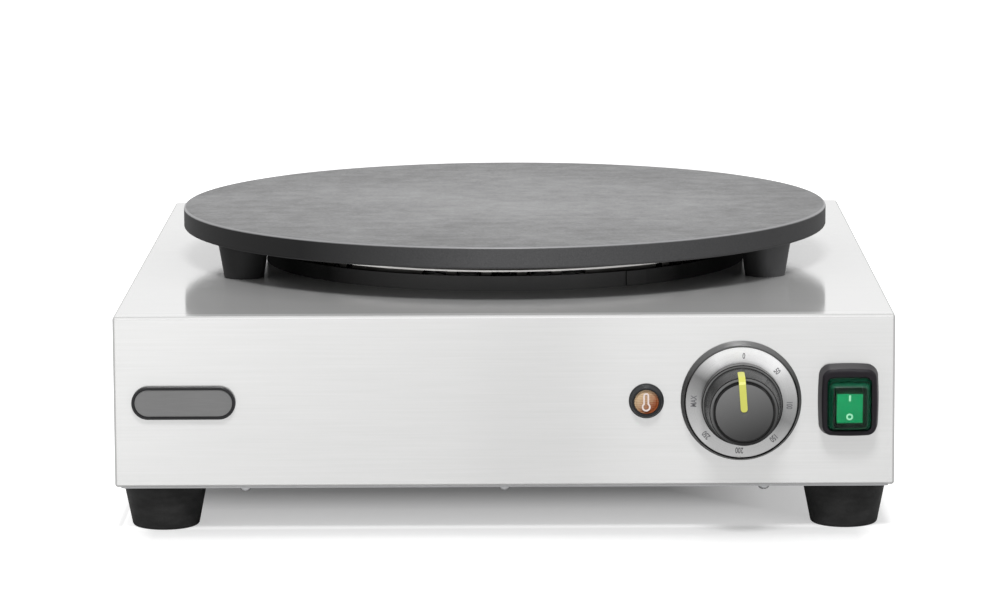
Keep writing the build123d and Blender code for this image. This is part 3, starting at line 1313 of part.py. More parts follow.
# Badge: a rimmed plate and the bare insert in its recess.
with BuildPart() as badge_plate:
    with BuildSketch(on_front(BADGE_X)):
        SlotOverall(BADGE_W, BADGE_H)
    extrude(amount=BADGE_T)
    badge_edge = badge_plate.faces().sort_by(Axis.Y)[0].edges()
    fillet(badge_edge, BADGE_EDGE_R)
    with BuildSketch(on_front(BADGE_X, out=BADGE_T)):
        SlotOverall(BADGE_W - 2 * BADGE_RIM, BADGE_H - 2 * BADGE_RIM)
    extrude(amount=-BADGE_RECESS, mode=Mode.SUBTRACT)
badge_plate.part.label = "badge_plate"
export_step(badge_plate.part, "parts/badge_plate.step")

with BuildPart() as badge_insert:
    inset = BADGE_RIM + INSERT_GAP
    with BuildSketch(on_front(BADGE_X, out=BADGE_T - BADGE_RECESS)):
        SlotOverall(BADGE_W - 2 * inset, BADGE_H - 2 * inset)
    extrude(amount=INSERT_T)
badge_insert.part.label = "badge_insert"
export_step(badge_insert.part, "parts/badge_insert.step")

# =============================================================================
# Mains inlet and internal leads
# =============================================================================

GLAND_Z = DECK_Z - GLAND_DROP
GLAND_SECTION = Plane((GLAND_X, REAR_Y, GLAND_Z), x_dir=(1, 0, 0), z_dir=(0, 0, 1))
GLAND_AXIS = Axis((GLAND_X, REAR_Y, GLAND_Z), (0, 1, 0))

with BuildPart() as cable_gland:
    with BuildSketch(on_rear(GLAND_X, GLAND_Z)):
        RegularPolygon(GLAND_HEX_AF / 2, 6, major_radius=False)
    extrude(amount=GLAND_HEX_T)
    with BuildSketch(on_rear(GLAND_X, GLAND_Z, out=GLAND_HEX_T)):
        Circle(GLAND_NECK_R)
    extrude(amount=GLAND_NECK_L - GLAND_HEX_T)
    with BuildSketch(on_rear(GLAND_X, GLAND_Z)):
        Circle(GLAND_THREAD_R)
    extrude(amount=-GLAND_IN)
    with BuildSketch(on_rear(GLAND_X, GLAND_Z, out=GLAND_NECK_L)):
        Circle(LEAD_BORE_R)
    extrude(amount=-GLAND_NECK_L - GLAND_IN, mode=Mode.SUBTRACT)
cable_gland.part.label = "cable_gland"
export_step(cable_gland.part, "parts/cable_gland.step")

with BuildPart() as gland_dome_nut:
    with BuildSketch(on_rear(GLAND_X, GLAND_Z, out=GLAND_HEX_T)):
        RegularPolygon(GLAND_HEX_AF / 2, 6, major_radius=False)
    extrude(amount=(GLAND_REACH - GLAND_HEX_T) / 2)
    with BuildSketch(GLAND_SECTION):
        with BuildLine():
            dome_low = (GLAND_REACH + GLAND_HEX_T) / 2
            Line((0, dome_low), (GLAND_HEX_AF / 2, dome_low))
            TangentArc((GLAND_HEX_AF / 2, dome_low), (GLAND_MOUTH_R, GLAND_REACH), tangent=(0, 1))
            Line((GLAND_MOUTH_R, GLAND_REACH), (0, GLAND_REACH))
            Line((0, GLAND_REACH), (0, dome_low))
        make_face()
    revolve(axis=GLAND_AXIS)
    with BuildSketch(on_rear(GLAND_X, GLAND_Z, out=GLAND_HEX_T)):
        Circle(GLAND_NECK_R + HOLE_GAP / 3)
    extrude(amount=GLAND_NECK_L - GLAND_HEX_T, mode=Mode.SUBTRACT)
    with BuildSketch(on_rear(GLAND_X, GLAND_Z, out=GLAND_HEX_T)):
        Circle(LEAD_BORE_R)
    extrude(amount=GLAND_REACH, mode=Mode.SUBTRACT)
gland_dome_nut.part.label = "gland_dome_nut"
export_step(gland_dome_nut.part, "parts/gland_dome_nut.step")

locknut = hex_nut(LOCKNUT_AF, LOCKNUT_T, GLAND_THREAD_R + THREAD_GAP)
with BuildPart() as gland_locknut:
    with Locations(on_rear(GLAND_X, GLAND_Z, out=-SHEET - LOCKNUT_T)):
        add(locknut)
gland_locknut.part.label = "gland_locknut"
export_step(gland_locknut.part, "parts/gland_locknut.step")

POLES = [BLOCK_X + step * POLE_PITCH for step in (-1, 0, 1)]
POLE_Z = BASE_Z + POLE_H
with BuildPart() as terminal_block:
    with Locations((BLOCK_X, BLOCK_Y, BASE_Z)):
        Box(BLOCK_W, BLOCK_D, BLOCK_H, align=(Align.CENTER, Align.CENTER, Align.MIN))
    for side in (-1, 1):
        with Locations((BLOCK_X, BLOCK_Y + side * BLOCK_D / 2, BASE_Z + BLOCK_H)):
            Box(BLOCK_W, BLOCK_STEP_D, BLOCK_STEP_H, align=(Align.CENTER, Align.CENTER, Align.MAX),
                mode=Mode.SUBTRACT)
    for pole_x in POLES:
        with Locations((pole_x, BLOCK_Y, POLE_Z)):
            Cylinder(LEAD_R + POLE_BORE_GAP, BLOCK_D, rotation=(90, 0, 0), mode=Mode.SUBTRACT)
        with Locations((pole_x, BLOCK_Y, BASE_Z + BLOCK_H)):
            Cylinder(POLE_SCREW_R + THREAD_GAP, BASE_Z + BLOCK_H - POLE_Z,
                     align=(Align.CENTER, Align.CENTER, Align.MAX), mode=Mode.SUBTRACT)
    with Locations(*[(x, y, BASE_Z) for x, y in BLOCK_FIXINGS]):
        Cylinder(SMALL_SCREW_R + THREAD_GAP, SMALL_SCREW_L,
                 align=(Align.CENTER, Align.CENTER, Align.MIN), mode=Mode.SUBTRACT)
terminal_block.part.label = "terminal_block"
export_step(terminal_block.part, "parts/terminal_block.step")

SCREW_FOOT = POLE_Z + LEAD_R
SCREW_TOP = BASE_Z + BLOCK_H - POLE_SCREW_SINK
with BuildPart() as terminal_screws:
    with Locations(*[(pole_x, BLOCK_Y, SCREW_FOOT) for pole_x in POLES]):
        Cylinder(POLE_SCREW_R, SCREW_TOP - SCREW_FOOT, align=(Align.CENTER, Align.CENTER, Align.MIN))
    with Locations(*[(pole_x, BLOCK_Y, SCREW_TOP) for pole_x in POLES]):
        Box(2 * POLE_SCREW_R, POLE_SLOT_W, 2 * POLE_SLOT_W, mode=Mode.SUBTRACT)
terminal_screws.part.label = "terminal_screws"
export_step(terminal_screws.part, "parts/terminal_screws.step")

with BuildPart() as earth_stud:
    with Locations((EARTH_X, BLOCK_Y, BASE_Z - SHEET)):
        Cylinder(EARTH_STUD_R, EARTH_STUD_L, align=(Align.CENTER, Align.CENTER, Align.MIN))
    with BuildSketch(Plane.XY.offset(BASE_Z)):
        with Locations((EARTH_X, BLOCK_Y)):
            RegularPolygon(EARTH_HEX_AF / 2, 6, major_radius=False)
    extrude(amount=EARTH_HEX_H)
earth_stud.part.label = "earth_stud"
export_step(earth_stud.part, "parts/earth_stud.step")

EARTH_TAG_Z = BASE_Z + EARTH_HEX_H
earth_lock = hex_nut(EARTH_HEX_AF, EARTH_HEX_H, EARTH_STUD_R + THREAD_GAP)
with BuildPart() as earth_nut:
    with Locations((EARTH_X, BLOCK_Y, EARTH_TAG_Z + EARTH_TAG_T)):
        add(earth_lock)
earth_nut.part.label = "earth_nut"
export_step(earth_nut.part, "parts/earth_nut.step")


def lead(name, route, radii, lead_r):
    """Round lead of straight runs joined by arcs. Prints how far its volume is from section times length."""
    with BuildPart() as body:
        with BuildLine() as run:
            FilletPolyline(*route, radius=radii)
        wire = run.wire()
        with BuildSketch(Plane(origin=wire @ 0, z_dir=wire % 0)):
            Circle(lead_r)
        sweep(path=wire)
    expected = pi * lead_r ** 2 * wire.length
    print(name, "length", round(wire.length, 1), "volume ratio", round(body.part.volume / expected, 4))
    return body.part


BULB_END = (BULB_L / 2, BULB_Y, BULB_Z)
CAPILLARY_LOW = DECK_Z + BACKING_LOW - CAPILLARY_DROP
capillary_route = [
    BULB_END,
    (CAPILLARY_DROP_X, BULB_Y, BULB_Z),
    (CAPILLARY_DROP_X, BULB_Y, CAPILLARY_LOW),
    (DIAL_X - CAPILLARY_SIDE, BULB_Y - CAPILLARY_AHEAD, CAPILLARY_LOW),
    (DIAL_X, THERMOSTAT_BACK_Y + CAPILLARY_AHEAD, CONTROL_Z),
    (DIAL_X, THERMOSTAT_BACK_Y, CONTROL_Z),
]
with BuildPart() as capillary_tube:
    add(lead("capillary tube", capillary_route, CAPILLARY_BENDS, CAPILLARY_R))
capillary_tube.part.label = "capillary_tube"
export_step(capillary_tube.part, "parts/capillary_tube.step")

SWITCH_TAB_Y = FRONT_Y + SWITCH_D + SWITCH_SPADE_L
THERMOSTAT_TAB_Y = THERMOSTAT_BACK_Y + SPADE_L
LANE_X = SIDE_X - LANE_INSET
LANE_Z = BASE_Z + LANE_LIFT


def power_route(pole_x, tab_x, lane):
    """From a pole of the terminal block, along the right side, to an upper tab of the switch."""
    tab_z = SWITCH_Z + SWITCH_TAB_Z
    return [
        (pole_x, BLOCK_Y - POLE_GRIP, POLE_Z),
        (pole_x, BLOCK_Y - BLOCK_RUN, POLE_Z),
        (LANE_X - lane * LANE_STEP, BLOCK_Y - LANE_START, LANE_Z),
        (LANE_X - lane * LANE_STEP, SWITCH_TAB_Y + LANE_END, LANE_Z + LANE_RISE),
        (tab_x, SWITCH_TAB_Y + TAB_RUN, tab_z),
        (tab_x, SWITCH_TAB_Y, tab_z),
    ]


live_lead = lead("live lead", power_route(POLES[2], SWITCH_X + SWITCH_TAB_X, 0), POWER_BENDS, LEAD_R)
neutral_lead = lead("neutral lead", power_route(POLES[1], SWITCH_X - SWITCH_TAB_X, 1), POWER_BENDS, LEAD_R)
power_leads = Compound(label="power_leads", children=[live_lead, neutral_lead])
export_step(power_leads, "parts/power_leads.step")

PIN_END_Z = DECK_Z + TERMINAL_LOW - PIN_L
CUTOUT_END_Z = DECK_Z + BACKING_LOW - CLIP_T - CUTOUT_H - SPADE_L
LINK_Z = DECK_Z + TERMINAL_LOW - LINK_DROP
inner_legs, middle_legs, outer_legs = (
    [(x, GRIDDLE_Y + y) for x, y in leg_spots(ring_r, gap)]
    for ring_r, gap in zip(RING_RADII, RING_GAP_ANGLES)
)
CUTOUT_TABS = [(CUTOUT_X, GRIDDLE_Y + CUTOUT_BACK + side * CUTOUT_R / 2) for side in (-1, 1)]
TAB_ROWS = (CONTROL_Z - THERMOSTAT_TAB_Z, CONTROL_Z + THERMOSTAT_TAB_Z)

switch_to_thermostat = [
    (SWITCH_X - SWITCH_TAB_X, SWITCH_TAB_Y, SWITCH_Z - SWITCH_TAB_Z),
    (SWITCH_X - SWITCH_TAB_X, SWITCH_TAB_Y + TAB_RUN, SWITCH_Z - SWITCH_TAB_Z),
    (DIAL_X + THERMOSTAT_TAB_X, THERMOSTAT_TAB_Y + TAB_RUN, TAB_ROWS[0]),
    (DIAL_X + THERMOSTAT_TAB_X, THERMOSTAT_TAB_Y, TAB_ROWS[0]),
]
thermostat_to_cutout = [
    (DIAL_X + THERMOSTAT_TAB_X, THERMOSTAT_TAB_Y, TAB_ROWS[1]),
    (DIAL_X + THERMOSTAT_TAB_X, THERMOSTAT_TAB_Y + TAB_RUN, TAB_ROWS[1]),
    (CUTOUT_X + CUTOUT_SIDE, CUTOUT_TABS[0][1] - CUTOUT_AHEAD, CUTOUT_END_Z - LOOP_DROP),
    (*CUTOUT_TABS[0], CUTOUT_END_Z - LOOP_DROP),
    (*CUTOUT_TABS[0], CUTOUT_END_Z),
]
cutout_to_outer = [
    (*CUTOUT_TABS[1], CUTOUT_END_Z),
    (*CUTOUT_TABS[1], CUTOUT_END_Z - LOOP_DROP),
    (*outer_legs[1], PIN_END_Z - LOOP_DROP),
    (*outer_legs[1], PIN_END_Z),
]
switch_to_outer = [
    (SWITCH_X + SWITCH_TAB_X, SWITCH_TAB_Y, SWITCH_Z - SWITCH_TAB_Z),
    (SWITCH_X + SWITCH_TAB_X, SWITCH_TAB_Y + TAB_RUN, SWITCH_Z - SWITCH_TAB_Z),
    (LANE_X - 2 * LANE_STEP, SWITCH_TAB_Y + LANE_END, LANE_Z - LANE_STEP),
    (LANE_X - 2 * LANE_STEP, GRIDDLE_Y + OUTER_TURN, LANE_Z - LANE_STEP - LANE_RISE),
    (*outer_legs[0], PIN_END_Z - LOOP_DROP),
    (*outer_legs[0], PIN_END_Z),
]


def link(start, end):
    """Straight link between two terminal pins, with an eye round each pin."""
    along = Plane(
        origin=(*start, LINK_Z + LINK_EYE_H / 2),
        x_dir=(0, 0, 1),
        z_dir=(end[0] - start[0], end[1] - start[1], 0),
    )
    span = ((end[0] - start[0]) ** 2 + (end[1] - start[1]) ** 2) ** 0.5
    with BuildPart() as body:
        with BuildSketch(along):
            Circle(LINK_R)
        extrude(amount=span)
        for x, y in (start, end):
            with Locations((x, y, LINK_Z)):
                Cylinder(PIN_R + LINK_R, LINK_EYE_H, align=(Align.CENTER, Align.CENTER, Align.MIN))
        for x, y in (start, end):
            with Locations((x, y, LINK_Z)):
                Cylinder(PIN_R + THREAD_GAP, LINK_EYE_H, align=(Align.CENTER, Align.CENTER, Align.MIN),
                         mode=Mode.SUBTRACT)
    return body.part


# The two small rings are in series with each other and in parallel with the large one.
heating_leads = Compound(
    label="heating_leads",
    children=[
        lead("switch to thermostat", switch_to_thermostat, THERMOSTAT_BENDS, LEAD_R),
        lead("thermostat to cut-out", thermostat_to_cutout, CUTOUT_BENDS, LEAD_R),
        lead("cut-out to outer ring", cutout_to_outer, LOOP_BENDS, LEAD_R),
        lead("switch to outer ring", switch_to_outer, OUTER_BENDS, LEAD_R),
        link(outer_legs[1], inner_legs[0]),
        link(inner_legs[1], middle_legs[0]),
        link(middle_legs[1], outer_legs[0]),
    ],
)
export_step(heating_leads, "parts/heating_leads.step")

# Earth lead: ring tag on the stud, and a lead from the tag to the earth pole of the block.
with BuildPart() as earth_tag:
    with BuildSketch(Plane.XY.offset(EARTH_TAG_Z)):
        with Locations((EARTH_X, BLOCK_Y)):
            Circle(EARTH_TAG_R)
            Rectangle(EARTH_TAG_R, EARTH_TONGUE, align=(Align.CENTER, Align.MAX))
            Circle(EARTH_STUD_R + HOLE_GAP, mode=Mode.SUBTRACT)
    extrude(amount=EARTH_TAG_T)
earth_route = [
    (EARTH_X, BLOCK_Y - EARTH_TONGUE, EARTH_TAG_Z),
    (EARTH_X, BLOCK_Y - EARTH_TONGUE - EARTH_RUN, EARTH_TAG_Z),
    (POLES[0], BLOCK_Y - EARTH_TONGUE - EARTH_RUN, POLE_Z),
    (POLES[0], BLOCK_Y - POLE_GRIP, POLE_Z),
]
earth_wire = lead("earth lead", earth_route, LOOP_BENDS, LEAD_R)
earth_lead = Compound(label="earth_lead", children=[earth_tag.part, earth_wire])
export_step(earth_lead, "parts/earth_lead.step")
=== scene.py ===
"""Finishes, small details and studio for a countertop electric crepe maker, round its CAD pieces."""

import json
from math import asin, cos, pi, radians, sin

import bmesh
import bpy
from bpy.props import FloatProperty, FloatVectorProperty, PointerProperty
from mathutils import Euler, Matrix, Vector


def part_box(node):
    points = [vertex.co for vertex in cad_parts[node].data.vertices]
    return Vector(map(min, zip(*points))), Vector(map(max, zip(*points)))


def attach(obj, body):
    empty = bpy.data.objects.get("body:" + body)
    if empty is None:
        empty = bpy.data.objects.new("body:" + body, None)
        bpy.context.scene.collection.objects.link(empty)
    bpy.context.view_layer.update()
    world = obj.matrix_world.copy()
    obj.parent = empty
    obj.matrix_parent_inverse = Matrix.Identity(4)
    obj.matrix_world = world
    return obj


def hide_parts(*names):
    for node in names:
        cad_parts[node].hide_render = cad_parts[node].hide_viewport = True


bl_info = {
    "name": "Crepe maker",
    "version": (1, 0, 0),
    "blender": (4, 5, 0),
    "location": "View3D > Sidebar > Crepe maker",
    "description": "Finishes and details for a countertop electric crepe maker",
    "category": "Object",
}

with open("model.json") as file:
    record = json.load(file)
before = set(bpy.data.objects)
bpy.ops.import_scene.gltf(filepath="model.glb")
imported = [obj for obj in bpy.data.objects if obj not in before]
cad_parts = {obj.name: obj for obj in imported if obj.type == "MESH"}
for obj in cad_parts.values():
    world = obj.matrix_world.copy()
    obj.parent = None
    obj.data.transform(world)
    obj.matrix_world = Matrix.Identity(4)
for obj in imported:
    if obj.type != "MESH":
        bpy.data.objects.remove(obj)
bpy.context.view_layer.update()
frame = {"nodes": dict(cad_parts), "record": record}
NODES = frame["nodes"]
MM = 0.001


# ---- Where things are ----


def middle(node):
    """Middle of a CAD node's box."""
    low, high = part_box(node)
    return (low + high) / 2


def joint_place(name):
    """Where a joint's axis stands, from the packed record."""
    joints = frame["record"]["behaviour"]["joints"]
    return Vector(next(joint["pos_m"] for joint in joints if joint["name"] == name))


CASE_LOW, CASE_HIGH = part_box("housing_shell")
DECK_Z = CASE_HIGH.z
FRONT_Y = CASE_LOW.y
CASE = (CASE_LOW + CASE_HIGH) / 2
GRIDDLE = middle("griddle_plate")
GRIDDLE_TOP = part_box("griddle_plate")[1].z
PAN_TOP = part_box("reflector_pan")[1].z
DIAL = middle("dial_ring")
DIAL_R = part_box("dial_ring")[1].x - DIAL.x
DIAL_FACE_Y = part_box("dial_ring")[0].y
LAMP = middle("lamp_bezel")
LENS_LOW, LENS_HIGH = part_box("lamp_lens")
BOOT_LOW, BOOT_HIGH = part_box("switch_boot")
ROCKER_PIVOT = joint_place("rocker_tilt")


# ---- Shader building ----


class Value:
    """One output of a shader node. Arithmetic on values adds the Math nodes it needs."""

    def __init__(self, nodes, socket):
        self.nodes = nodes
        self.socket = socket

    def _math(self, operation, first, second):
        return self.nodes.node("ShaderNodeMath", {"operation": operation}, {0: first, 1: second})

    def __add__(self, other):
        return self._math("ADD", self, other)

    __radd__ = __add__

    def __mul__(self, other):
        return self._math("MULTIPLY", self, other)

    __rmul__ = __mul__

    def __sub__(self, other):
        return self._math("SUBTRACT", self, other)

    def __rsub__(self, other):
        return self._math("SUBTRACT", other, self)

    def __gt__(self, other):
        return self._math("GREATER_THAN", self, other)

    def __abs__(self):
        return self._math("ABSOLUTE", self, 0.0)

    def sine(self):
        return self._math("SINE", self, 0.0)


class Nodes:
    """A node tree while it is being built."""

    def __init__(self, tree):
        self.tree = tree

    def node(self, kind, settings=None, inputs=None, output=0):
        """Adds a node: its settings first, then the numbers or links of its sockets."""
        made = self.tree.nodes.new(kind)
        for name, setting in (settings or {}).items():
            if name == "stops":
                set_stops(made.color_ramp, setting)
            else:
                setattr(made, name, setting)
        for name, given in (inputs or {}).items():
            if isinstance(given, Value):
                self.tree.links.new(given.socket, made.inputs[name])
            else:
                made.inputs[name].default_value = given
        return Value(self, made.outputs[output])

    def spread(self, value, low, high, to_low=0.0, to_high=1.0):
        """A value mapped from one range to another, and held inside it."""
        return self.node("ShaderNodeMapRange", {"clamp": True},
                         {"Value": value, "From Min": low, "From Max": high,
                          "To Min": to_low, "To Max": to_high})

    def greater(self, first, second):
        """The larger of two values."""
        return self.node("ShaderNodeMath", {"operation": "MAXIMUM"}, {0: first, 1: second})

    def rays(self):
        """Whether a ray comes straight from the camera, off a mirror or through something clear."""
        outputs = self.node("ShaderNodeLightPath").socket.node.outputs
        kinds = ("Is Camera Ray", "Is Glossy Ray", "Is Transmission Ray")
        return [Value(self, outputs[kind]) for kind in kinds]


class Finish(Nodes):
    """A material while it is being built."""

    def __init__(self, name):
        self.material = bpy.data.materials.new(name)
        self.material.use_nodes = True
        super().__init__(self.material.node_tree)
        self.tree.nodes.clear()
        self.end = self.tree.nodes.new("ShaderNodeOutputMaterial")

    def place(self, scale=(1, 1, 1), origin=(0, 0, 0)):
        """Object coordinates, moved to an origin and scaled."""
        coordinates = self.node("ShaderNodeTexCoord", output="Object")
        moved = self.node("ShaderNodeVectorMath", {"operation": "SUBTRACT"},
                          {0: coordinates, 1: tuple(origin)})
        return self.node("ShaderNodeMapping", None, {"Vector": moved, "Scale": scale})

    def noise(self, place, scale, detail=3.0, roughness=0.55):
        """Soft random pattern from 0 to 1."""
        return self.node("ShaderNodeTexNoise", None,
                         {"Vector": place, "Scale": scale, "Detail": detail, "Roughness": roughness})

    def axis(self, place, name):
        """One coordinate of a vector."""
        return self.node("ShaderNodeSeparateXYZ", None, {0: place}, output=name)

    def facing(self, name):
        """How far the surface faces along an axis: -1 to 1."""
        return self.axis(self.node("ShaderNodeTexCoord", output="Normal"), name)

    def length(self, vector):
        """How long a vector is."""
        return self.node("ShaderNodeVectorMath", {"operation": "LENGTH"}, {0: vector}, output="Value")

    def ramp(self, factor, stops):
        """Grey that changes from stop to stop."""
        return self.node("ShaderNodeValToRGB", {"stops": stops}, {"Fac": factor})

    def blend(self, factor, first, second):
        """Mix of two colours."""
        return self.node("ShaderNodeMix", {"data_type": "RGBA"}, {0: factor, 6: first, 7: second}, output=2)

    def bump(self, height, strength, distance, filter_width=0.1):
        """Normal from a height."""
        return self.node("ShaderNodeBump", None,
                         {"Height": height, "Strength": strength, "Distance": distance,
                          "Filter Width": filter_width})

    def turn_about(self, centre):
        """Clockwise angle round a point of the front, from straight up: -pi to pi."""
        place = self.place(origin=centre)
        return self.node("ShaderNodeMath", {"operation": "ARCTAN2"},
                         {0: self.axis(place, "X"), 1: self.axis(place, "Z")})

    def principled(self, **inputs):
        """One Principled shader. Names have underscores for spaces."""
        named = {name.replace("_", " "): given for name, given in inputs.items()}
        return self.node("ShaderNodeBsdfPrincipled", None, named)

    def surface(self, **inputs):
        """Ends the material in one Principled surface."""
        return self.close(self.principled(**inputs))

    def mixed(self, factor, first, second):
        """Ends the material in a mix of two shaders."""
        return self.close(self.node("ShaderNodeMixShader", None, {0: factor, 1: first, 2: second}))

    def close(self, shader):
        """Ends the material in a finished shader."""
        self.tree.links.new(shader.socket, self.end.inputs["Surface"])
        return self.material


def set_stops(ramp, stops):
    """Gives a colour ramp its stops: pairs of position and grey level."""
    while len(ramp.elements) > 1:
        ramp.elements.remove(ramp.elements[-1])
    for index, (position, level) in enumerate(stops):
        element = ramp.elements[0] if index == 0 else ramp.elements.new(position)
        element.position = position
        element.color = grey(level)


def grey(level):
    """Neutral colour."""
    return (level, level, level, 1.0)


def tinted(colour, factor=1.0):
    """A colour as four numbers, made lighter or darker."""
    return (colour[0] * factor, colour[1] * factor, colour[2] * factor, 1.0)


def paint(material, *names):
    """Gives CAD nodes one material."""
    for name in names:
        slots = NODES[name].data.materials
        if len(slots) == 0:
            slots.append(material)
        for index in range(len(slots)):
            slots[index] = material


# ---- Mesh building ----


def mesh_object(name, builder, material):
    """Puts a finished bmesh in the scene, in one finish."""
    mesh = bpy.data.meshes.new(name)
    builder.to_mesh(mesh)
    builder.free()
    mesh.materials.append(material)
    obj = bpy.data.objects.new(name, mesh)
    bpy.context.scene.collection.objects.link(obj)
    return obj


def piece(name, builder, stand, material, body, smooth=True):
    """Stands a finished bmesh in its place and makes it a piece, with its finish and body."""
    bmesh.ops.transform(builder, matrix=stand, verts=builder.verts[:])
    obj = mesh_object(name, builder, material)
    if smooth:
        obj.data.shade_smooth()
        obj.data.set_sharp_from_angle(angle=radians(35))
    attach(obj, body)
    return obj


def facing_front(x, y, z):
    """Matrix that stands a flat shape up: its X stays X, its Y goes up, its Z comes out of the front."""
    return Matrix.Translation((x, y, z)) @ Euler((pi / 2, 0, 0)).to_matrix().to_4x4()


def rounded_plate(half_wide, half_high, corner_r, steps):
    """Flat rectangle with round corners."""
    builder = bmesh.new()
    bmesh.ops.create_grid(builder, x_segments=1, y_segments=1, size=1.0)
    bmesh.ops.scale(builder, vec=(half_wide, half_high, 1.0), verts=builder.verts[:])
    bmesh.ops.bevel(builder, geom=builder.verts[:], offset=corner_r, offset_type="OFFSET",
                    segments=steps, profile=0.5, affect="VERTICES", material=-1)
    return builder


def thicken(builder, depth):
    """Gives a flat shape a thickness along Z."""
    grown = bmesh.ops.extrude_face_region(builder, geom=builder.faces[:])
    lifted = [item for item in grown["geom"] if isinstance(item, bmesh.types.BMVert)]
    bmesh.ops.translate(builder, verts=lifted, vec=(0, 0, depth))
    bmesh.ops.recalc_face_normals(builder, faces=builder.faces[:])


def spun(builder, outline, steps):
    """Turns a list of (radius, height) points round the Z axis into a closed skin."""
    corners = [builder.verts.new((radius, 0, height)) for radius, height in outline]
    edges = [builder.edges.new(pair) for pair in zip(corners, corners[1:])]
    bmesh.ops.spin(builder, geom=corners + edges, cent=(0, 0, 0), axis=(0, 0, 1), angle=2 * pi,
                   steps=steps, use_merge=True, use_duplicate=False)
    bmesh.ops.remove_doubles(builder, verts=builder.verts[:], dist=1e-7)
    bmesh.ops.recalc_face_normals(builder, faces=builder.faces[:])


# ---- Settings ----


class StageSettings(bpy.types.PropertyGroup):
    """Floor, lamps and sky."""

    floor_level: FloatProperty(name="Floor", description="How pale the floor is", default=0.66,
                               min=0.0, max=1.0, subtype="FACTOR")
    sky_level: FloatProperty(name="Sky", description="Even light from all round", default=0.50,
                             min=0.0, max=2.0)
    key_watts: FloatProperty(name="Key lamp", description="Large soft lamp over the front", default=145.0,
                             min=0.0)
    side_watts: FloatProperty(name="Side lamps", description="Tall soft lamps at both sides", default=3.0,
                              min=0.0)
    lens: FloatProperty(name="Lens", description="Focal length of the camera", default=165.78, min=10.0)


class SteelSettings(bpy.types.PropertyGroup):
    """Brushed stainless sheet of the casing."""

    tint: FloatVectorProperty(name="Tint", description="Colour of the steel", subtype="COLOR", size=3,
                              default=(0.80, 0.80, 0.795), min=0.0, max=1.0)
    grain: FloatProperty(name="Grain", description="Fine brush lines in a metre across the grain",
                         default=2400.0, min=100.0)
    haze: FloatProperty(name="Haze", description="Share of the light that the grain scatters",
                        default=0.34, min=0.0, max=1.0, subtype="FACTOR")
    gloss: FloatProperty(name="Roughness", description="Blur of what the steel mirrors", default=0.12,
                         min=0.0, max=1.0, subtype="FACTOR")


class GriddleSettings(bpy.types.PropertyGroup):
    """Seasoned cast griddle."""

    tint: FloatVectorProperty(name="Tint", description="Colour of the seasoned iron", subtype="COLOR",
                              size=3, default=(0.085, 0.085, 0.087), min=0.0, max=1.0)
    gloss: FloatProperty(name="Roughness", description="Blur of the sheen on top", default=0.38,
                         min=0.0, max=1.0, subtype="FACTOR")


class DialSettings(bpy.types.PropertyGroup):
    """Numbered ring round the knob."""

    number_height: FloatProperty(name="Number size", description="Height of the font's body",
                                 default=0.0047, unit="LENGTH", min=0.001)
    number_radius: FloatProperty(name="Number circle", description="Radius on which the numbers stand",
                                 default=0.0274, unit="LENGTH", min=0.01)
    turn: FloatProperty(name="Turn", description="Clockwise turn of the whole ring",
                        default=radians(2.6), unit="ROTATION")


class SwitchSettings(bpy.types.PropertyGroup):
    """Rocker and its splash boot."""

    rocker_tint: FloatVectorProperty(name="Rocker", description="Colour of the rocker", subtype="COLOR",
                                     size=3, default=(0.008, 0.32, 0.155), min=0.0, max=1.0)
    boot_tint: FloatVectorProperty(name="Boot", description="Colour of the clear boot", subtype="COLOR",
                                   size=3, default=(0.60, 0.94, 0.77), min=0.0, max=1.0)


class LampSettings(bpy.types.PropertyGroup):
    """Indicator lamp."""

    lens_tint: FloatVectorProperty(name="Lens", description="Deep colour of the lens", subtype="COLOR",
                                   size=3, default=(0.26, 0.055, 0.006), min=0.0, max=1.0)
    glow_tint: FloatVectorProperty(name="Glow", description="Pale colour of the lens", subtype="COLOR",
                                   size=3, default=(0.56, 0.40, 0.24), min=0.0, max=1.0)
    rib_pitch: FloatProperty(name="Rib pitch", description="From one rib of the lens to the next",
                             default=0.0013, unit="LENGTH", min=0.0002)


class CrepeMakerSettings(bpy.types.PropertyGroup):
    """All the settings."""

    stage: PointerProperty(type=StageSettings)
    steel: PointerProperty(type=SteelSettings)
    griddle: PointerProperty(type=GriddleSettings)
    dial: PointerProperty(type=DialSettings)
    switch: PointerProperty(type=SwitchSettings)
    lamp: PointerProperty(type=LampSettings)


# ---- Finishes ----


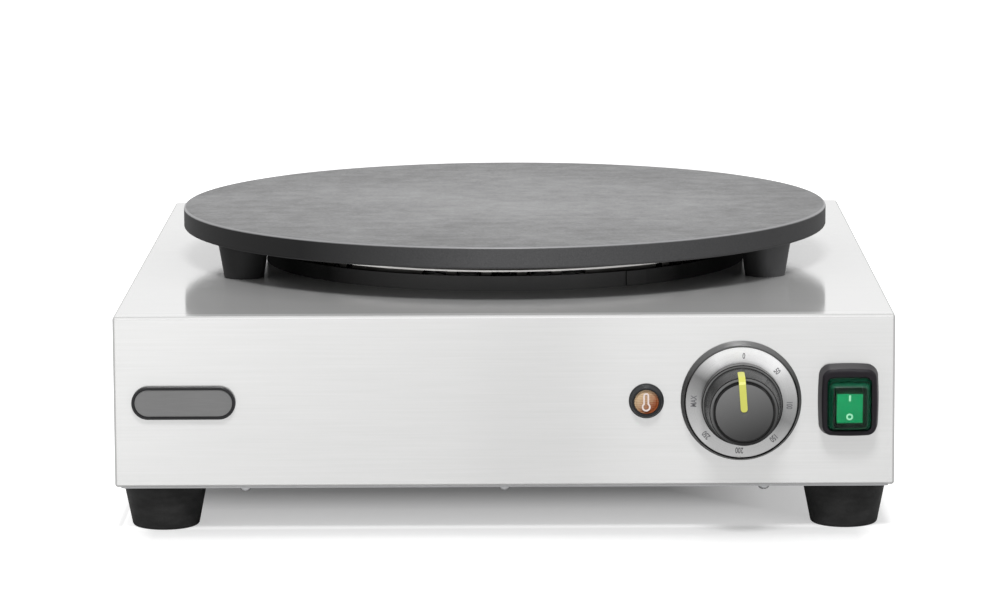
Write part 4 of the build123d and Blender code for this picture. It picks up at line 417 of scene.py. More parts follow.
def brushed_stainless(settings):
    """Brushed sheet: grain along the width on the deck and front, and up and down on the sides.

    It is painted darker in its folds and a little darker over the whole deck, as painted shade; it is duller
    in its folds, and hazier on the deck, most of all along the deck's front.
    """
    finish = Finish("brushed_stainless")
    facing = [abs(finish.facing(axis)) for axis in "XYZ"]
    on_side, on_deck = facing[0] > 0.7, facing[2] > 0.7
    bend = finish.spread(finish.greater(finish.greater(facing[0], facing[1]), facing[2]), 0.985, 0.93)
    from_front = finish.axis(finish.place(origin=(0.0, FRONT_Y, 0.0)), "Y")
    lip = on_deck * finish.spread(from_front, 10.5 * MM, 8.5 * MM)

    def grain(pitch, length, detail=2.0):
        """Lines of one pitch and length, turned upright on the sides."""
        wide = finish.noise(finish.place(scale=(1 / length, pitch, pitch)), 1.0, detail=detail)
        tall = finish.noise(finish.place(scale=(pitch, pitch, 1 / length)), 1.0, detail=detail)
        return wide * (1 - on_side) + tall * on_side

    fine = grain(settings.grain, 0.10)
    streak = grain(settings.grain * 0.3, 0.06, detail=3.0)
    broad = grain(settings.grain * 0.06, 0.15)
    cloud = finish.noise(finish.place(scale=(3.0, 9.0, 9.0)), 1.0, detail=2.0)
    tone = finish.spread(fine * 0.35 + streak * 0.45 + broad * 0.1 + cloud * 0.1, 0.36, 0.64)
    colour = finish.blend(tone, tinted(settings.tint, 0.935), tinted(settings.tint, 0.99))
    # Painted shade: the folds, and a little the whole deck, darkened in colour.
    colour = finish.blend(bend + on_deck * 0.20, colour, tinted(settings.tint, 0.62))
    blur = settings.gloss - 0.04 - 0.03 * on_deck + broad * 0.04 + cloud * 0.04 + bend * 0.55
    relief = fine * (0.10 + 0.10 * on_deck)
    bare = 1.0 - settings.haze - 0.25 * on_deck - 0.25 * lip
    return finish.surface(Base_Color=colour, Metallic=bare, Roughness=blur,
                          Normal=finish.bump(relief, 0.8, 0.00005, filter_width=0.03))


def zinc_plate(name="zinc_plate", level=0.62, blur=0.32):
    """Plated steel of screws, nuts and inner fittings."""
    finish = Finish(name)
    place = finish.place()
    grain = finish.noise(place, 1400.0, detail=3.0)
    cloud = finish.noise(place, 60.0, detail=3.0)
    colour = finish.blend(cloud, grey(level * 0.9), (level * 1.02, level * 1.03, level * 1.06, 1.0))
    return finish.surface(Base_Color=colour, Metallic=1.0, Roughness=blur - 0.06 + grain * 0.12,
                          Normal=finish.bump(grain, 0.12, 0.0001))


def seasoned_iron(settings):
    """Cast griddle: a mottled top with a painted highlight along its rim, sides darkened as painted shade
    and blackest at the left, and legs painted lighter at the right as painted light.
    """
    finish = Finish("seasoned_iron")
    place = finish.place(origin=(GRIDDLE.x, GRIDDLE.y, GRIDDLE_TOP))
    upright, sideways = finish.facing("Z"), finish.facing("X")
    grain = finish.noise(place, 1300.0, detail=4.0, roughness=0.65)
    pores = finish.noise(place, 420.0, detail=3.0, roughness=0.6)
    patches = finish.noise(place, 75.0, detail=4.0, roughness=0.6)
    clouds = finish.noise(place, 13.0, detail=3.0, roughness=0.5)
    streaks = finish.noise(finish.place(scale=(9.0, 130.0, 130.0), origin=GRIDDLE), 1.0, detail=3.0)
    centre = finish.spread(finish.length(place), 20 * MM, 200 * MM, 1.0, 0.0)
    wear = clouds * 0.22 + patches * 0.24 + streaks * 0.08 + grain * 0.16 + pores * 0.20 + centre * 0.10
    wear = finish.spread(wear, 0.38, 0.62)
    top_colour = finish.blend(wear, tinted(settings.tint, 0.40), tinted(settings.tint, 1.95))
    # Painted highlight: the rounded rim between top and side painted pale.
    rim = finish.spread(upright, 0.30, 0.60) * finish.spread(upright, 0.93, 0.99, 1.0, 0.0)
    top_colour = finish.blend(rim, top_colour, tinted(settings.tint, 2.9))
    relief = finish.bump(grain * 0.6 + pores * 0.4, 0.45, 0.00022)
    top = finish.principled(Base_Color=top_colour, Roughness=settings.gloss + wear * -0.10 + grain * 0.08,
                            Specular_IOR_Level=0.62, Normal=relief)
    # Painted shade: the sides darkened where they turn away, fully towards the left and half towards the
    # right.
    painted_flank_shade = finish.greater(finish.spread(sideways, -0.05, -0.60),
                           finish.spread(sideways, 0.1, 0.8, 0.0, 0.5))
    side_colour = finish.blend(finish.spread(grain, 0.3, 0.7), tinted(settings.tint, 0.72),
                               tinted(settings.tint, 1.02))
    side_colour = finish.blend(painted_flank_shade, side_colour, tinted(settings.tint, 0.16))
    on_legs = finish.spread(finish.axis(place, "Z"), -13.6 * MM, -14.0 * MM)
    # Painted light: the right leg painted lighter, most where its flanks don't face left.
    painted_light = (finish.spread(finish.axis(place, "X"), 50 * MM, 100 * MM, 0.15, 1.0)
              * finish.spread(sideways, -0.45, 0.05, 0.15, 1.0))
    leg_colour = finish.blend(painted_light, tinted(settings.tint, 0.27), tinted(settings.tint, 0.88))
    side_colour = finish.blend(on_legs, side_colour, leg_colour)
    side = finish.principled(Base_Color=side_colour, Roughness=0.55 + grain * 0.10,
                             Specular_IOR_Level=0.10, Normal=relief)
    on_top = finish.spread(upright, 0.15, 0.45)
    return finish.mixed(on_top, side, top)


def black_enamel():
    """Black fired enamel that heat has dulled, painted lighter grey at its front as painted light."""
    finish = Finish("black_enamel")
    place = finish.place()
    peel = finish.noise(place, 160.0, detail=2.0)
    dust = finish.noise(place, 1300.0, detail=2.0)
    # Painted light: the front-facing part of the collar painted lighter grey.
    painted_light = finish.spread(finish.facing("Y"), -0.70, -0.96)
    colour = finish.blend(dust * 0.15 + painted_light * 0.85, grey(0.012), grey(0.175))
    return finish.surface(Base_Color=colour, Roughness=0.38 + dust * 0.12, Specular_IOR_Level=0.0,
                          Normal=finish.bump(peel, 0.18, 0.0006))


def bright_sheet():
    """Drawn sheet, painted dark below its rim as painted shade, and painted bright along the rim as a
    painted highlight.
    """
    finish = Finish("bright_sheet")
    place = finish.place(origin=(GRIDDLE.x, GRIDDLE.y, PAN_TOP))
    cloud = finish.noise(place, 28.0, detail=4.0, roughness=0.6)
    grain = finish.noise(finish.place(scale=(600.0, 600.0, 60.0)), 1.0, detail=2.0)
    # Painted shade: the sheet under the griddle given two near-black tones at random.
    painted_shade_pale, painted_shade_deep = (0.085, 0.082, 0.078, 1.0), (0.030, 0.028, 0.026, 1.0)
    colour = finish.blend(finish.spread(cloud, 0.35, 0.65), painted_shade_pale, painted_shade_deep)
    # Painted highlight: a thin band about a millimetre below the pan's top painted bright.
    painted_rim_highlight = finish.spread(abs(finish.axis(place, "Z") + 1.0 * MM), 0.65 * MM, 0.35 * MM)
    colour = finish.blend(painted_rim_highlight, colour, (0.85, 0.84, 0.82, 1.0))
    return finish.surface(Base_Color=colour, Metallic=1.0, Roughness=0.20 + grain * 0.14 + cloud * 0.12,
                          Normal=finish.bump(grain, 0.12, 0.0002))


def element_sheath():
    """Heat-dulled sheath of a ring element."""
    finish = Finish("element_sheath")
    place = finish.place(origin=GRIDDLE)
    scale = finish.noise(place, 240.0, detail=4.0, roughness=0.65)
    cloud = finish.noise(place, 30.0, detail=3.0)
    colour = finish.blend(cloud, (0.10, 0.085, 0.07, 1.0), (0.22, 0.20, 0.18, 1.0))
    return finish.surface(Base_Color=colour, Metallic=0.85, Roughness=0.40 + scale * 0.2,
                          Normal=finish.bump(scale, 0.3, 0.0003))


def moulded(name, colour, blur=0.42, grain_strength=0.14, coat=0.0, shine=0.28):
    """Moulded plastic or ceramic with a fine spark-eroded texture."""
    finish = Finish(name)
    place = finish.place()
    grain = finish.noise(place, 1500.0, detail=3.0, roughness=0.6)
    cloud = finish.noise(place, 45.0, detail=3.0)
    shade = finish.blend(cloud, tinted(colour, 0.86), tinted(colour, 1.12))
    return finish.surface(Base_Color=shade, Roughness=blur - 0.05 + grain * 0.08 + cloud * 0.05,
                          Specular_IOR_Level=shine, Coat_Weight=coat,
                          Normal=finish.bump(grain, grain_strength, 0.00015))


def foot_rubber():
    """Matt black rubber, dusty where it is handled."""
    finish = Finish("foot_rubber")
    place = finish.place()
    grain = finish.noise(place, 900.0, detail=4.0, roughness=0.65)
    dust = finish.noise(finish.place(scale=(1.0, 1.0, 2.5)), 70.0, detail=4.0)
    colour = finish.blend(finish.spread(dust, 0.35, 0.75), grey(0.012), grey(0.024))
    return finish.surface(Base_Color=colour, Roughness=0.60 + grain * 0.16, Specular_IOR_Level=0.20,
                          Normal=finish.bump(grain, 0.28, 0.0003))


# Painted highlights and shade of the spun face: share of a whole turn clockwise from the bottom, and grey
# level.
PAINTED_FAN_STOPS = (
    (0.00, 0.60), (0.14, 0.58), (0.25, 0.43), (0.335, 0.22), (0.42, 0.98), (0.62, 1.00),
    (0.67, 0.66), (0.75, 0.38), (0.815, 0.26), (0.90, 0.58), (1.00, 0.60),
)


def spun_dial():
    """Aluminium face turned on a lathe, with the pale and dark fans of light that its rings would throw
    painted into its colour as painted highlights and shade.
    """
    finish = Finish("spun_dial")
    place = finish.place(origin=DIAL)
    flat = finish.node("ShaderNodeVectorMath", {"operation": "MULTIPLY"}, {0: place, 1: (1.0, 0.0, 1.0)})
    rings = finish.node("ShaderNodeTexNoise", {"noise_dimensions": "1D"},
                        {"W": finish.length(flat), "Scale": 2600.0, "Detail": 4.0, "Roughness": 0.7})
    scatter = finish.noise(place, 1600.0, detail=2.0)
    turn = finish.spread(finish.turn_about(DIAL), -pi, pi)
    # Painted highlights and shade: fans of light and dark round the face.
    painted_fans = finish.ramp(turn, PAINTED_FAN_STOPS)
    lines = finish.spread(rings * 0.6 + scatter * 0.4, 0.3, 0.7, 0.90, 1.10)
    colour = finish.blend(1.0, grey(0.0), painted_fans * lines)  # the level as a colour
    return finish.surface(Base_Color=colour, Metallic=0.62, Roughness=0.26 + scatter * 0.08,
                          Normal=finish.bump(rings, 0.35, 0.00010))


def knob_black():
    """Black moulding, glossy on its flanks and satin on its cap, which is painted lighter towards its upper
    left as painted light.
    """
    finish = Finish("knob_black")
    place = finish.place(origin=DIAL)
    grain = finish.noise(place, 1500.0, detail=3.0)
    on_cap = finish.spread(finish.facing("Y"), -0.80, -0.95)
    # Painted light and shade: the cap painted lighter towards its upper left and darker towards its lower
    # right.
    slope = finish.axis(place, "Z") - finish.axis(place, "X") * 0.35
    shade = finish.spread(slope, -22 * MM, 16 * MM)
    cap_colour = finish.blend(shade, grey(0.022), grey(0.170))
    colour = finish.blend(on_cap, grey(0.009), cap_colour)
    return finish.surface(Base_Color=colour, Roughness=0.22 + on_cap * 0.24 + grain * 0.06,
                          Specular_IOR_Level=0.11, Normal=finish.bump(grain, 0.10, 0.00012))


def bezel_black():
    """Black moulding, painted lighter grey along its top as painted light."""
    finish = Finish("bezel_black")
    place = finish.place(origin=DIAL)
    grain = finish.noise(place, 1500.0, detail=3.0)
    # Painted light: the bezel painted lighter grey towards its top.
    painted_light = finish.spread(finish.axis(place, "Z") + grain * (2 * MM), 12 * MM, 36 * MM)
    colour = finish.blend(painted_light, grey(0.008), grey(0.13))
    return finish.surface(Base_Color=colour, Roughness=0.33 + grain * 0.08, Specular_IOR_Level=0.12,
                          Normal=finish.bump(grain, 0.12, 0.00015))


def rocker_green(settings):
    """Green moulding, darkened as painted shade where it faces up, at its top end."""
    finish = Finish("rocker_green")
    place = finish.place()
    grain = finish.noise(place, 1500.0, detail=3.0)
    # Painted shade: the upward-facing end of the rocker darkened.
    painted_end_shade = finish.spread(finish.facing("Z"), 0.30, 0.45)
    face = finish.blend(grain, tinted(settings.rocker_tint, 0.94), tinted(settings.rocker_tint, 1.04))
    colour = finish.blend(painted_end_shade, face, tinted(settings.rocker_tint, 0.16))
    return finish.surface(Base_Color=colour, Roughness=0.42 + grain * 0.06, Specular_IOR_Level=0.20,
                          Normal=finish.bump(grain, 0.04, 0.00015))


def clear_boot(settings):
    """See-through green membrane, cloudy along its steps."""
    finish = Finish("clear_boot")
    place = finish.place()
    ripple = finish.noise(place, 140.0, detail=2.0)
    fine = finish.noise(place, 900.0, detail=2.0)
    colour = finish.blend(ripple, tinted(settings.boot_tint, 0.90), tinted(settings.boot_tint, 1.05))
    relief = finish.bump(ripple, 0.15, 0.0005)
    clear = finish.principled(Base_Color=colour, Roughness=0.13 + fine * 0.06, IOR=1.20,
                              Transmission_Weight=1.0, Normal=relief)
    shade = finish.blend(ripple, tinted(settings.rocker_tint, 0.28), tinted(settings.rocker_tint, 0.42))
    cloudy = finish.principled(Base_Color=shade, Roughness=0.34 + fine * 0.06, Normal=relief)
    on_step = finish.spread(abs(finish.facing("Y")), 0.97, 0.60, 0.0, 0.5)
    return finish.mixed(on_step, clear, cloudy)


def amber_lens(settings):
    """Ribbed amber moulding, painted pale towards its upper left as painted light where light gathers in it,
    and deep at its far side.
    """
    finish = Finish("amber_lens")
    place = finish.place(origin=LAMP)
    ribs = (finish.axis(place, "Z") * (2 * pi / settings.rib_pitch)).sine()
    swirl = finish.noise(place, 420.0, detail=3.0)
    # Painted light: the lens painted pale towards its upper left.
    painted_glow = finish.axis(place, "Z") * 0.8 - finish.axis(place, "X") * 0.9
    pale = finish.spread(painted_glow + (swirl - 0.5) * (6 * MM) + ribs * (1.2 * MM), -5.5 * MM, 5 * MM)
    colour = finish.blend(pale, tinted(settings.lens_tint), tinted(settings.glow_tint))
    return finish.surface(Base_Color=colour, Roughness=0.26 + swirl * 0.1, Specular_IOR_Level=0.5,
                          Normal=finish.bump(ribs * 0.5 + swirl * 0.5, 0.5, 0.00022))


def badge_face():
    """Satin grey face of the bare badge."""
    finish = Finish("badge_face")
    place = finish.place()
    grain = finish.noise(finish.place(scale=(90.0, 1500.0, 1500.0)), 1.0, detail=2.0)
    cloud = finish.noise(place, 60.0, detail=2.0)
    colour = finish.blend(grain * 0.6 + cloud * 0.4, grey(0.15), grey(0.21))
    return finish.surface(Base_Color=colour, Metallic=0.3, Roughness=0.42 + grain * 0.08,
                          Normal=finish.bump(grain, 0.08, 0.0001))


def mineral_board():
    """Pressed mineral fibre."""
    finish = Finish("mineral_board")
    place = finish.place()
    fibre = finish.noise(finish.place(scale=(260.0, 260.0, 900.0)), 1.0, detail=5.0, roughness=0.7)
    cloud = finish.noise(place, 35.0, detail=3.0)
    colour = finish.blend(fibre * 0.6 + cloud * 0.4, (0.42, 0.38, 0.31, 1.0), (0.80, 0.76, 0.68, 1.0))
    return finish.surface(Base_Color=colour, Roughness=0.92, Normal=finish.bump(fibre, 0.6, 0.0006))


def braid(name, colour, stripe=None):
    """Woven sleeve of an inner lead."""
    finish = Finish(name)
    place = finish.place()
    x, y, z = (finish.axis(place, letter) for letter in "XYZ")
    one_way = ((x + y + z) * 2600.0).sine()
    other_way = ((x - y + z) * 2600.0).sine()
    weave = finish.spread(one_way * other_way, -1.0, 1.0)
    shade = finish.blend(weave, tinted(colour, 0.6), tinted(colour))
    if stripe is not None:
        shade = finish.blend(((x + y) * 900.0).sine() > 0.0, shade, tinted(stripe))
    return finish.surface(Base_Color=shade, Roughness=0.75, Normal=finish.bump(weave, 0.5, 0.0004))


def metal_alloy(name, colour):
    """Bare copper or brass with faint tarnish."""
    finish = Finish(name)
    place = finish.place()
    tarnish = finish.noise(place, 120.0, detail=4.0)
    grain = finish.noise(place, 1500.0, detail=2.0)
    shade = finish.blend(finish.spread(tarnish, 0.35, 0.75), tinted(colour), tinted(colour, 0.62))
    return finish.surface(Base_Color=shade, Metallic=1.0, Roughness=0.28 + tarnish * 0.15,
                          Normal=finish.bump(grain, 0.1, 0.0001))


def print_ink(name, colour):
    """Pad-printed ink, slightly uneven."""
    finish = Finish(name)
    place = finish.place()
    patchy = finish.noise(place, 2500.0, detail=3.0)
    shade = finish.blend(patchy, tinted(colour, 0.8), tinted(colour))
    return finish.surface(Base_Color=shade, Roughness=0.5)


# ---- Operators ----


# Painted shadow: extra light of the floor, least under the casing, from one reach inside the casing's
# outline to one reach outside it.
SHADE_REACH = 150 * MM
SHADE_STOPS = (
    (0.00, 0.11), (0.08, 0.14), (0.14, 0.22), (0.27, 0.42), (0.40, 0.48), (0.43, 0.45),
    (0.46, 0.25), (0.51, 0.22), (0.60, 0.33),
)
# The same as a painted reflection seen only in mirrors, from one reach left of the casing's middle to one
# reach right of it.
MIRROR_REACH = 400 * MM
MIRROR_STOPS = (
    (0.18, 0.29), (0.30, 0.17), (0.46, 0.07), (0.50, 0.00), (0.55, 0.00), (0.60, 0.14),
    (0.67, 0.19), (0.80, 0.12),
)


class CREPE_OT_stage(bpy.types.Operator):
    """Floor, lamps, sky and camera"""

    bl_idname = "crepe.stage"
    bl_label = "Stage"

    def execute(self, context):
        settings = context.scene.crepe_maker.stage
        self.floor(settings)
        self.sky(context, settings)
        self.lamps(settings)
        self.camera(context, settings)
        context.scene.view_settings.view_transform = "Standard"
        return {"FINISHED"}

    def floor(self, settings):
        """Pale floor that the camera and mirrors see as white, with the shade that gathers underneath partly
        cast by the lamps and partly painted as a painted shadow.
        """
        finish = Finish("floor_white")
        place = finish.place(origin=(CASE.x, CASE.y, 0.0))
        across, ahead = finish.axis(place, "X"), finish.axis(place, "Y")
        half_wide, half_deep = CASE_HIGH.x - CASE.x, CASE_HIGH.y - CASE.y
        right_of, left_of = across - half_wide, (across + half_wide) * -1.0
        # Past the left edge this light changes ten times as fast as past the others.
        beyond = finish.greater(finish.greater(right_of, left_of * 10.0), abs(ahead) - half_deep)
        painted_shadow = finish.ramp(finish.spread(beyond, -SHADE_REACH, SHADE_REACH), SHADE_STOPS)
        # Painted light: the floor lifted to white just beside the casing's sides.
        painted_side_light = finish.spread(finish.greater(right_of, left_of), -22 * MM, 4 * MM, 0.0, 0.45)
        painted_fans = finish.ramp(finish.spread(across, -MIRROR_REACH, MIRROR_REACH), MIRROR_STOPS)
        in_mirror = painted_fans * finish.spread(beyond, -10 * MM, 30 * MM)
        camera, mirror, clear = finish.rays()
        seen = finish.greater(finish.greater(camera, mirror), clear)
        far = seen * finish.spread(ahead, 0.0, 2.6, 0.0, 0.6)
        lift = finish.greater(camera, clear) * (painted_shadow + painted_side_light) + mirror * in_mirror + far
        finish.surface(Base_Color=grey(settings.floor_level), Roughness=0.9, Specular_IOR_Level=0.0,
                       Emission_Color=finish.blend(lift, grey(0.0), grey(1.0)), Emission_Strength=1.0)
        builder = bmesh.new()
        bmesh.ops.create_grid(builder, x_segments=1, y_segments=1, size=14.0)
        floor = mesh_object("floor", builder, finish.material)

    def sky(self, context, settings):
        """White surroundings for camera, mirrors and clear pieces, and a softer even light for the rest."""
        world = bpy.data.worlds.new("studio")
        context.scene.world = world
        world.use_nodes = True
        nodes = Nodes(world.node_tree)
        camera, mirror, clear = nodes.rays()
        seen = nodes.greater(nodes.greater(camera, mirror), clear)
        strength = nodes.spread(seen, 0.0, 1.0, settings.sky_level, 1.0)
        background = world.node_tree.nodes["Background"]
        background.inputs["Color"].default_value = grey(1.0)
        world.node_tree.links.new(strength.socket, background.inputs["Strength"])

    def lamp(self, name, place, aim, width, height, watts):
        """Rectangular lamp that points at a spot."""
        light = bpy.data.lights.new(name, "AREA")
        light.shape = "RECTANGLE"
        light.size = width
        light.size_y = height
        light.energy = watts
        obj = bpy.data.objects.new(name, light)
        obj.location = place
        direction = Vector(aim) - Vector(place)
        obj.rotation_euler = direction.to_track_quat("-Z", "Y").to_euler()
        bpy.context.scene.collection.objects.link(obj)

    def lamps(self, settings):
        """A key lamp over the front and a tall lamp at each side."""
        self.lamp("key", (0.0, -3.02, 3.6), (0, 0, 0.1), 1.2, 0.9, settings.key_watts)
        self.lamp("left", (-2.2, -0.6, 0.9), (0, 0, 0.1), 0.8, 1.6, settings.side_watts)
        self.lamp("right", (2.6, -0.5, 2.1), (0, 0, 0.1), 0.9, 0.9, settings.side_watts * 2.5)

    def camera(self, context, settings):
        """Long lens, a little above the object and square to its front."""
        data = bpy.data.cameras.new("camera")
        data.lens = settings.lens
        data.sensor_width = 36.0
        camera = bpy.data.objects.new("camera", data)
        yaw, pitch, roll = 0.005, 0.153, -0.005
        aside, away, above = 0.01102, 2.61125, 0.41377
        camera.location = (aside, FRONT_Y - away, DECK_Z + above)
        level = Matrix.Rotation(yaw, 3, "Z") @ Matrix.Rotation(pi / 2 - pitch, 3, "X")
        camera.rotation_euler = (level @ Matrix.Rotation(roll, 3, "Z")).to_euler()
        data.clip_end = 60.0
        context.scene.collection.objects.link(camera)
        context.scene.camera = camera


class CREPE_OT_casing(bpy.types.Operator):
    """Stainless casing, rear panel, bottom plate and their screws"""

    bl_idname = "crepe.casing"
    bl_label = "Casing"

    def execute(self, context):
        steel = context.scene.crepe_maker.steel
        paint(brushed_stainless(steel), "housing_shell", "rear_panel")
        paint(zinc_plate("base_plate_steel", level=0.42, blur=0.40), "bottom_plate")
        paint(zinc_plate(), "bottom_screws", "rear_screws", "small_screws", "foot_screws", "foot_nuts")
        return {"FINISHED"}


class CREPE_OT_feet(bpy.types.Operator):
    """Rubber feet"""

    bl_idname = "crepe.feet"
    bl_label = "Feet"

    def execute(self, context):
        paint(foot_rubber(), "foot_front_left", "foot_front_right", "foot_rear_left", "foot_rear_right")
        return {"FINISHED"}


class CREPE_OT_griddle(bpy.types.Operator):
    """Cast griddle"""

    bl_idname = "crepe.griddle"
    bl_label = "Griddle"

    def execute(self, context):
        paint(seasoned_iron(context.scene.crepe_maker.griddle), "griddle_plate")
        return {"FINISHED"}


class CREPE_OT_burner(bpy.types.Operator):
    """Collar, reflector, heating elements and hold-down"""

    bl_idname = "crepe.burner"
    bl_label = "Burner"

    def execute(self, context):
        paint(black_enamel(), "burner_collar")
        paint(bright_sheet(), "reflector_pan")
        paint(element_sheath(), "element_inner", "element_middle", "element_outer")
        paint(zinc_plate("burner_steel", level=0.55, blur=0.30), "element_clamp", "griddle_studs",
              "stud_nuts", "stud_spacers", "tie_rod", "tie_washer", "tie_springs", "tie_nuts",
              "hold_down_bridge", "backing_plate", "bulb_clip")
        paint(mineral_board(), "insulation_board")
        return {"FINISHED"}


class CREPE_OT_dial(bpy.types.Operator):
    """Dial ring, its numbers and its bezel"""

    bl_idname = "crepe.dial"
    bl_label = "Dial"

    labels = ("0", "50", "100", "150", "200", "250", "MAX")
    label_step = pi / 4
    label_squeeze = 0.66  # width against the font's own
    ink_depth, ink_spread = 0.03 * MM, 0.10 * MM
    circle_drop = 0.5 * MM  # from the ring's middle to the middle of the numbers' circle
    tab_r, tab_depth, tab_sunk = 1.0 * MM, 0.3 * MM, 0.2 * MM

    def execute(self, context):
        settings = context.scene.crepe_maker.dial
        paint(spun_dial(), "dial_ring")
        paint(bezel_black(), "dial_bezel")
        builder = bmesh.new()
        for index, label in enumerate(self.labels):
            self.add_label(builder, settings, label, settings.turn + index * self.label_step)
        stand = facing_front(DIAL.x, DIAL_FACE_Y, DIAL.z - self.circle_drop)
        ink = print_ink("dial_ink", (0.16, 0.16, 0.17))
        piece("dial_numbers", builder, stand, ink, "casing", smooth=False)
        self.add_index(settings)
        return {"FINISHED"}

    def add_index(self, settings):
        """Small bright tab in the notch at the foot of the ring."""
        builder = bmesh.new()
        bmesh.ops.create_circle(builder, cap_ends=True, segments=24, radius=self.tab_r)
        thicken(builder, self.tab_depth)
        stand = facing_front(DIAL.x, DIAL_FACE_Y + self.tab_sunk, DIAL.z)
        turn = Matrix.Rotation(pi - settings.turn, 4, "Z")
        out = Matrix.Translation((0, DIAL_R, 0))
        pale = moulded("index_white", (0.72, 0.72, 0.71), blur=0.35)
        piece("dial_index", builder, stand @ turn @ out, pale, "casing")

    def add_label(self, builder, settings, label, angle):
        """One flat label with its top outwards, at a clockwise angle from the top of the circle."""
        curve = bpy.data.curves.new("label", "FONT")
        curve.body = label
        curve.size = settings.number_height
        curve.align_x = "CENTER"
        curve.align_y = "CENTER"
        curve.extrude = self.ink_depth
        curve.offset = self.ink_spread
        obj = bpy.data.objects.new("label", curve)
        mesh = bpy.data.meshes.new_from_object(obj)
        turn = Matrix.Rotation(-angle, 4, "Z")
        out = Matrix.Translation((0, settings.number_radius, 0))
        mesh.transform(turn @ out @ Matrix.Diagonal((self.label_squeeze, 1.0, 1.0, 1.0)))
        builder.from_mesh(mesh)
        bpy.data.objects.remove(obj)
        bpy.data.curves.remove(curve)
        bpy.data.meshes.remove(mesh)


class CREPE_OT_knob(bpy.types.Operator):
    """Knob, pointer and shaft"""

    bl_idname = "crepe.knob"
    bl_label = "Knob"

    def execute(self, context):
        paint(knob_black(), "control_knob")
        paint(moulded("pointer_yellow", (0.60, 0.60, 0.125), blur=0.38), "knob_pointer")
        paint(zinc_plate("shaft_steel", level=0.6, blur=0.25), "thermostat_shaft", "thermostat_screws")
        return {"FINISHED"}


class CREPE_OT_lamp(bpy.types.Operator):
    """Indicator lamp"""

    bl_idname = "crepe.lamp"
    bl_label = "Indicator lamp"

    rim_share = 0.80  # of the lens's depth
    rim_wide, rim_round = 0.85 * MM, 0.25 * MM
    groove_wide, groove_deep, dome_rise = 0.30 * MM, 0.35 * MM, 0.70 * MM
    bulb_r, tube_r, stroke = 2.55 * MM, 1.70 * MM, 0.95 * MM
    bulb_low, tube_top = -2.9 * MM, 5.3 * MM
    symbol_depth, symbol_sunk, symbol_aside = 0.35 * MM, 0.05 * MM, 0.2 * MM

    def execute(self, context):
        settings = context.scene.crepe_maker.lamp
        bezel = moulded("lamp_bezel_grey", (0.024, 0.025, 0.026), blur=0.50, grain_strength=0.05, shine=0.12)
        paint(bezel, "lamp_bezel")
        paint(moulded("lamp_body_dark", (0.05, 0.045, 0.04)), "lamp_body")
        paint(zinc_plate("lamp_nut_steel"), "lamp_nut")
        self.lens(settings)
        self.symbol()
        return {"FINISHED"}

    def lens(self, settings):
        """Rimmed and ribbed lens in place of the plain one."""
        radius = LENS_HIGH.x - LAMP.x
        dome_r = radius - self.rim_wide - self.groove_wide
        rim = (LENS_HIGH.y - LENS_LOW.y) * self.rim_share
        groove = rim - self.groove_deep
        outline = [
            (0.0, 0.0),
            (radius, 0.0),
            (radius, rim - self.rim_round),
            (radius - self.rim_round, rim),
            (radius - self.rim_wide, rim),
            (dome_r, groove),
        ]
        steps = 14
        for step in range(1, steps):
            turn = step / steps * pi / 2
            outline.append((dome_r * cos(turn), groove + self.dome_rise * sin(turn)))
        outline.append((0.0, groove + self.dome_rise))
        builder = bmesh.new()
        spun(builder, outline, 72)
        stand = facing_front(LAMP.x, LENS_HIGH.y, LAMP.z)
        made = piece("lamp_lens_ribbed", builder, stand, amber_lens(settings), "casing")
        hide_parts("lamp_lens")

    def symbol(self):
        """Outline of a thermometer on the lens."""
        opening = asin(self.tube_r / self.bulb_r)
        builder = bmesh.new()
        steps = 24
        for step in range(steps + 1):
            turn = opening + (2 * pi - 2 * opening) * step / steps
            builder.verts.new((self.bulb_r * sin(turn), self.bulb_low + self.bulb_r * cos(turn), 0))
        for step in range(steps // 2 + 1):
            turn = pi * step / (steps // 2)
            top = self.tube_top - self.tube_r
            builder.verts.new((-self.tube_r * cos(turn), top + self.tube_r * sin(turn), 0))
        outline = builder.faces.new(builder.verts[:])
        builder.normal_update()
        bmesh.ops.inset_region(builder, faces=[outline], thickness=self.stroke, use_boundary=True,
                               use_even_offset=True)
        bmesh.ops.delete(builder, geom=[outline], context="FACES_ONLY")
        thicken(builder, self.symbol_depth)
        stand = facing_front(LAMP.x - self.symbol_aside, LENS_LOW.y + self.symbol_sunk, LAMP.z)
        ink = print_ink("symbol_white", (0.86, 0.74, 0.70))
        piece("lamp_symbol", builder, stand, ink, "casing", smooth=False)


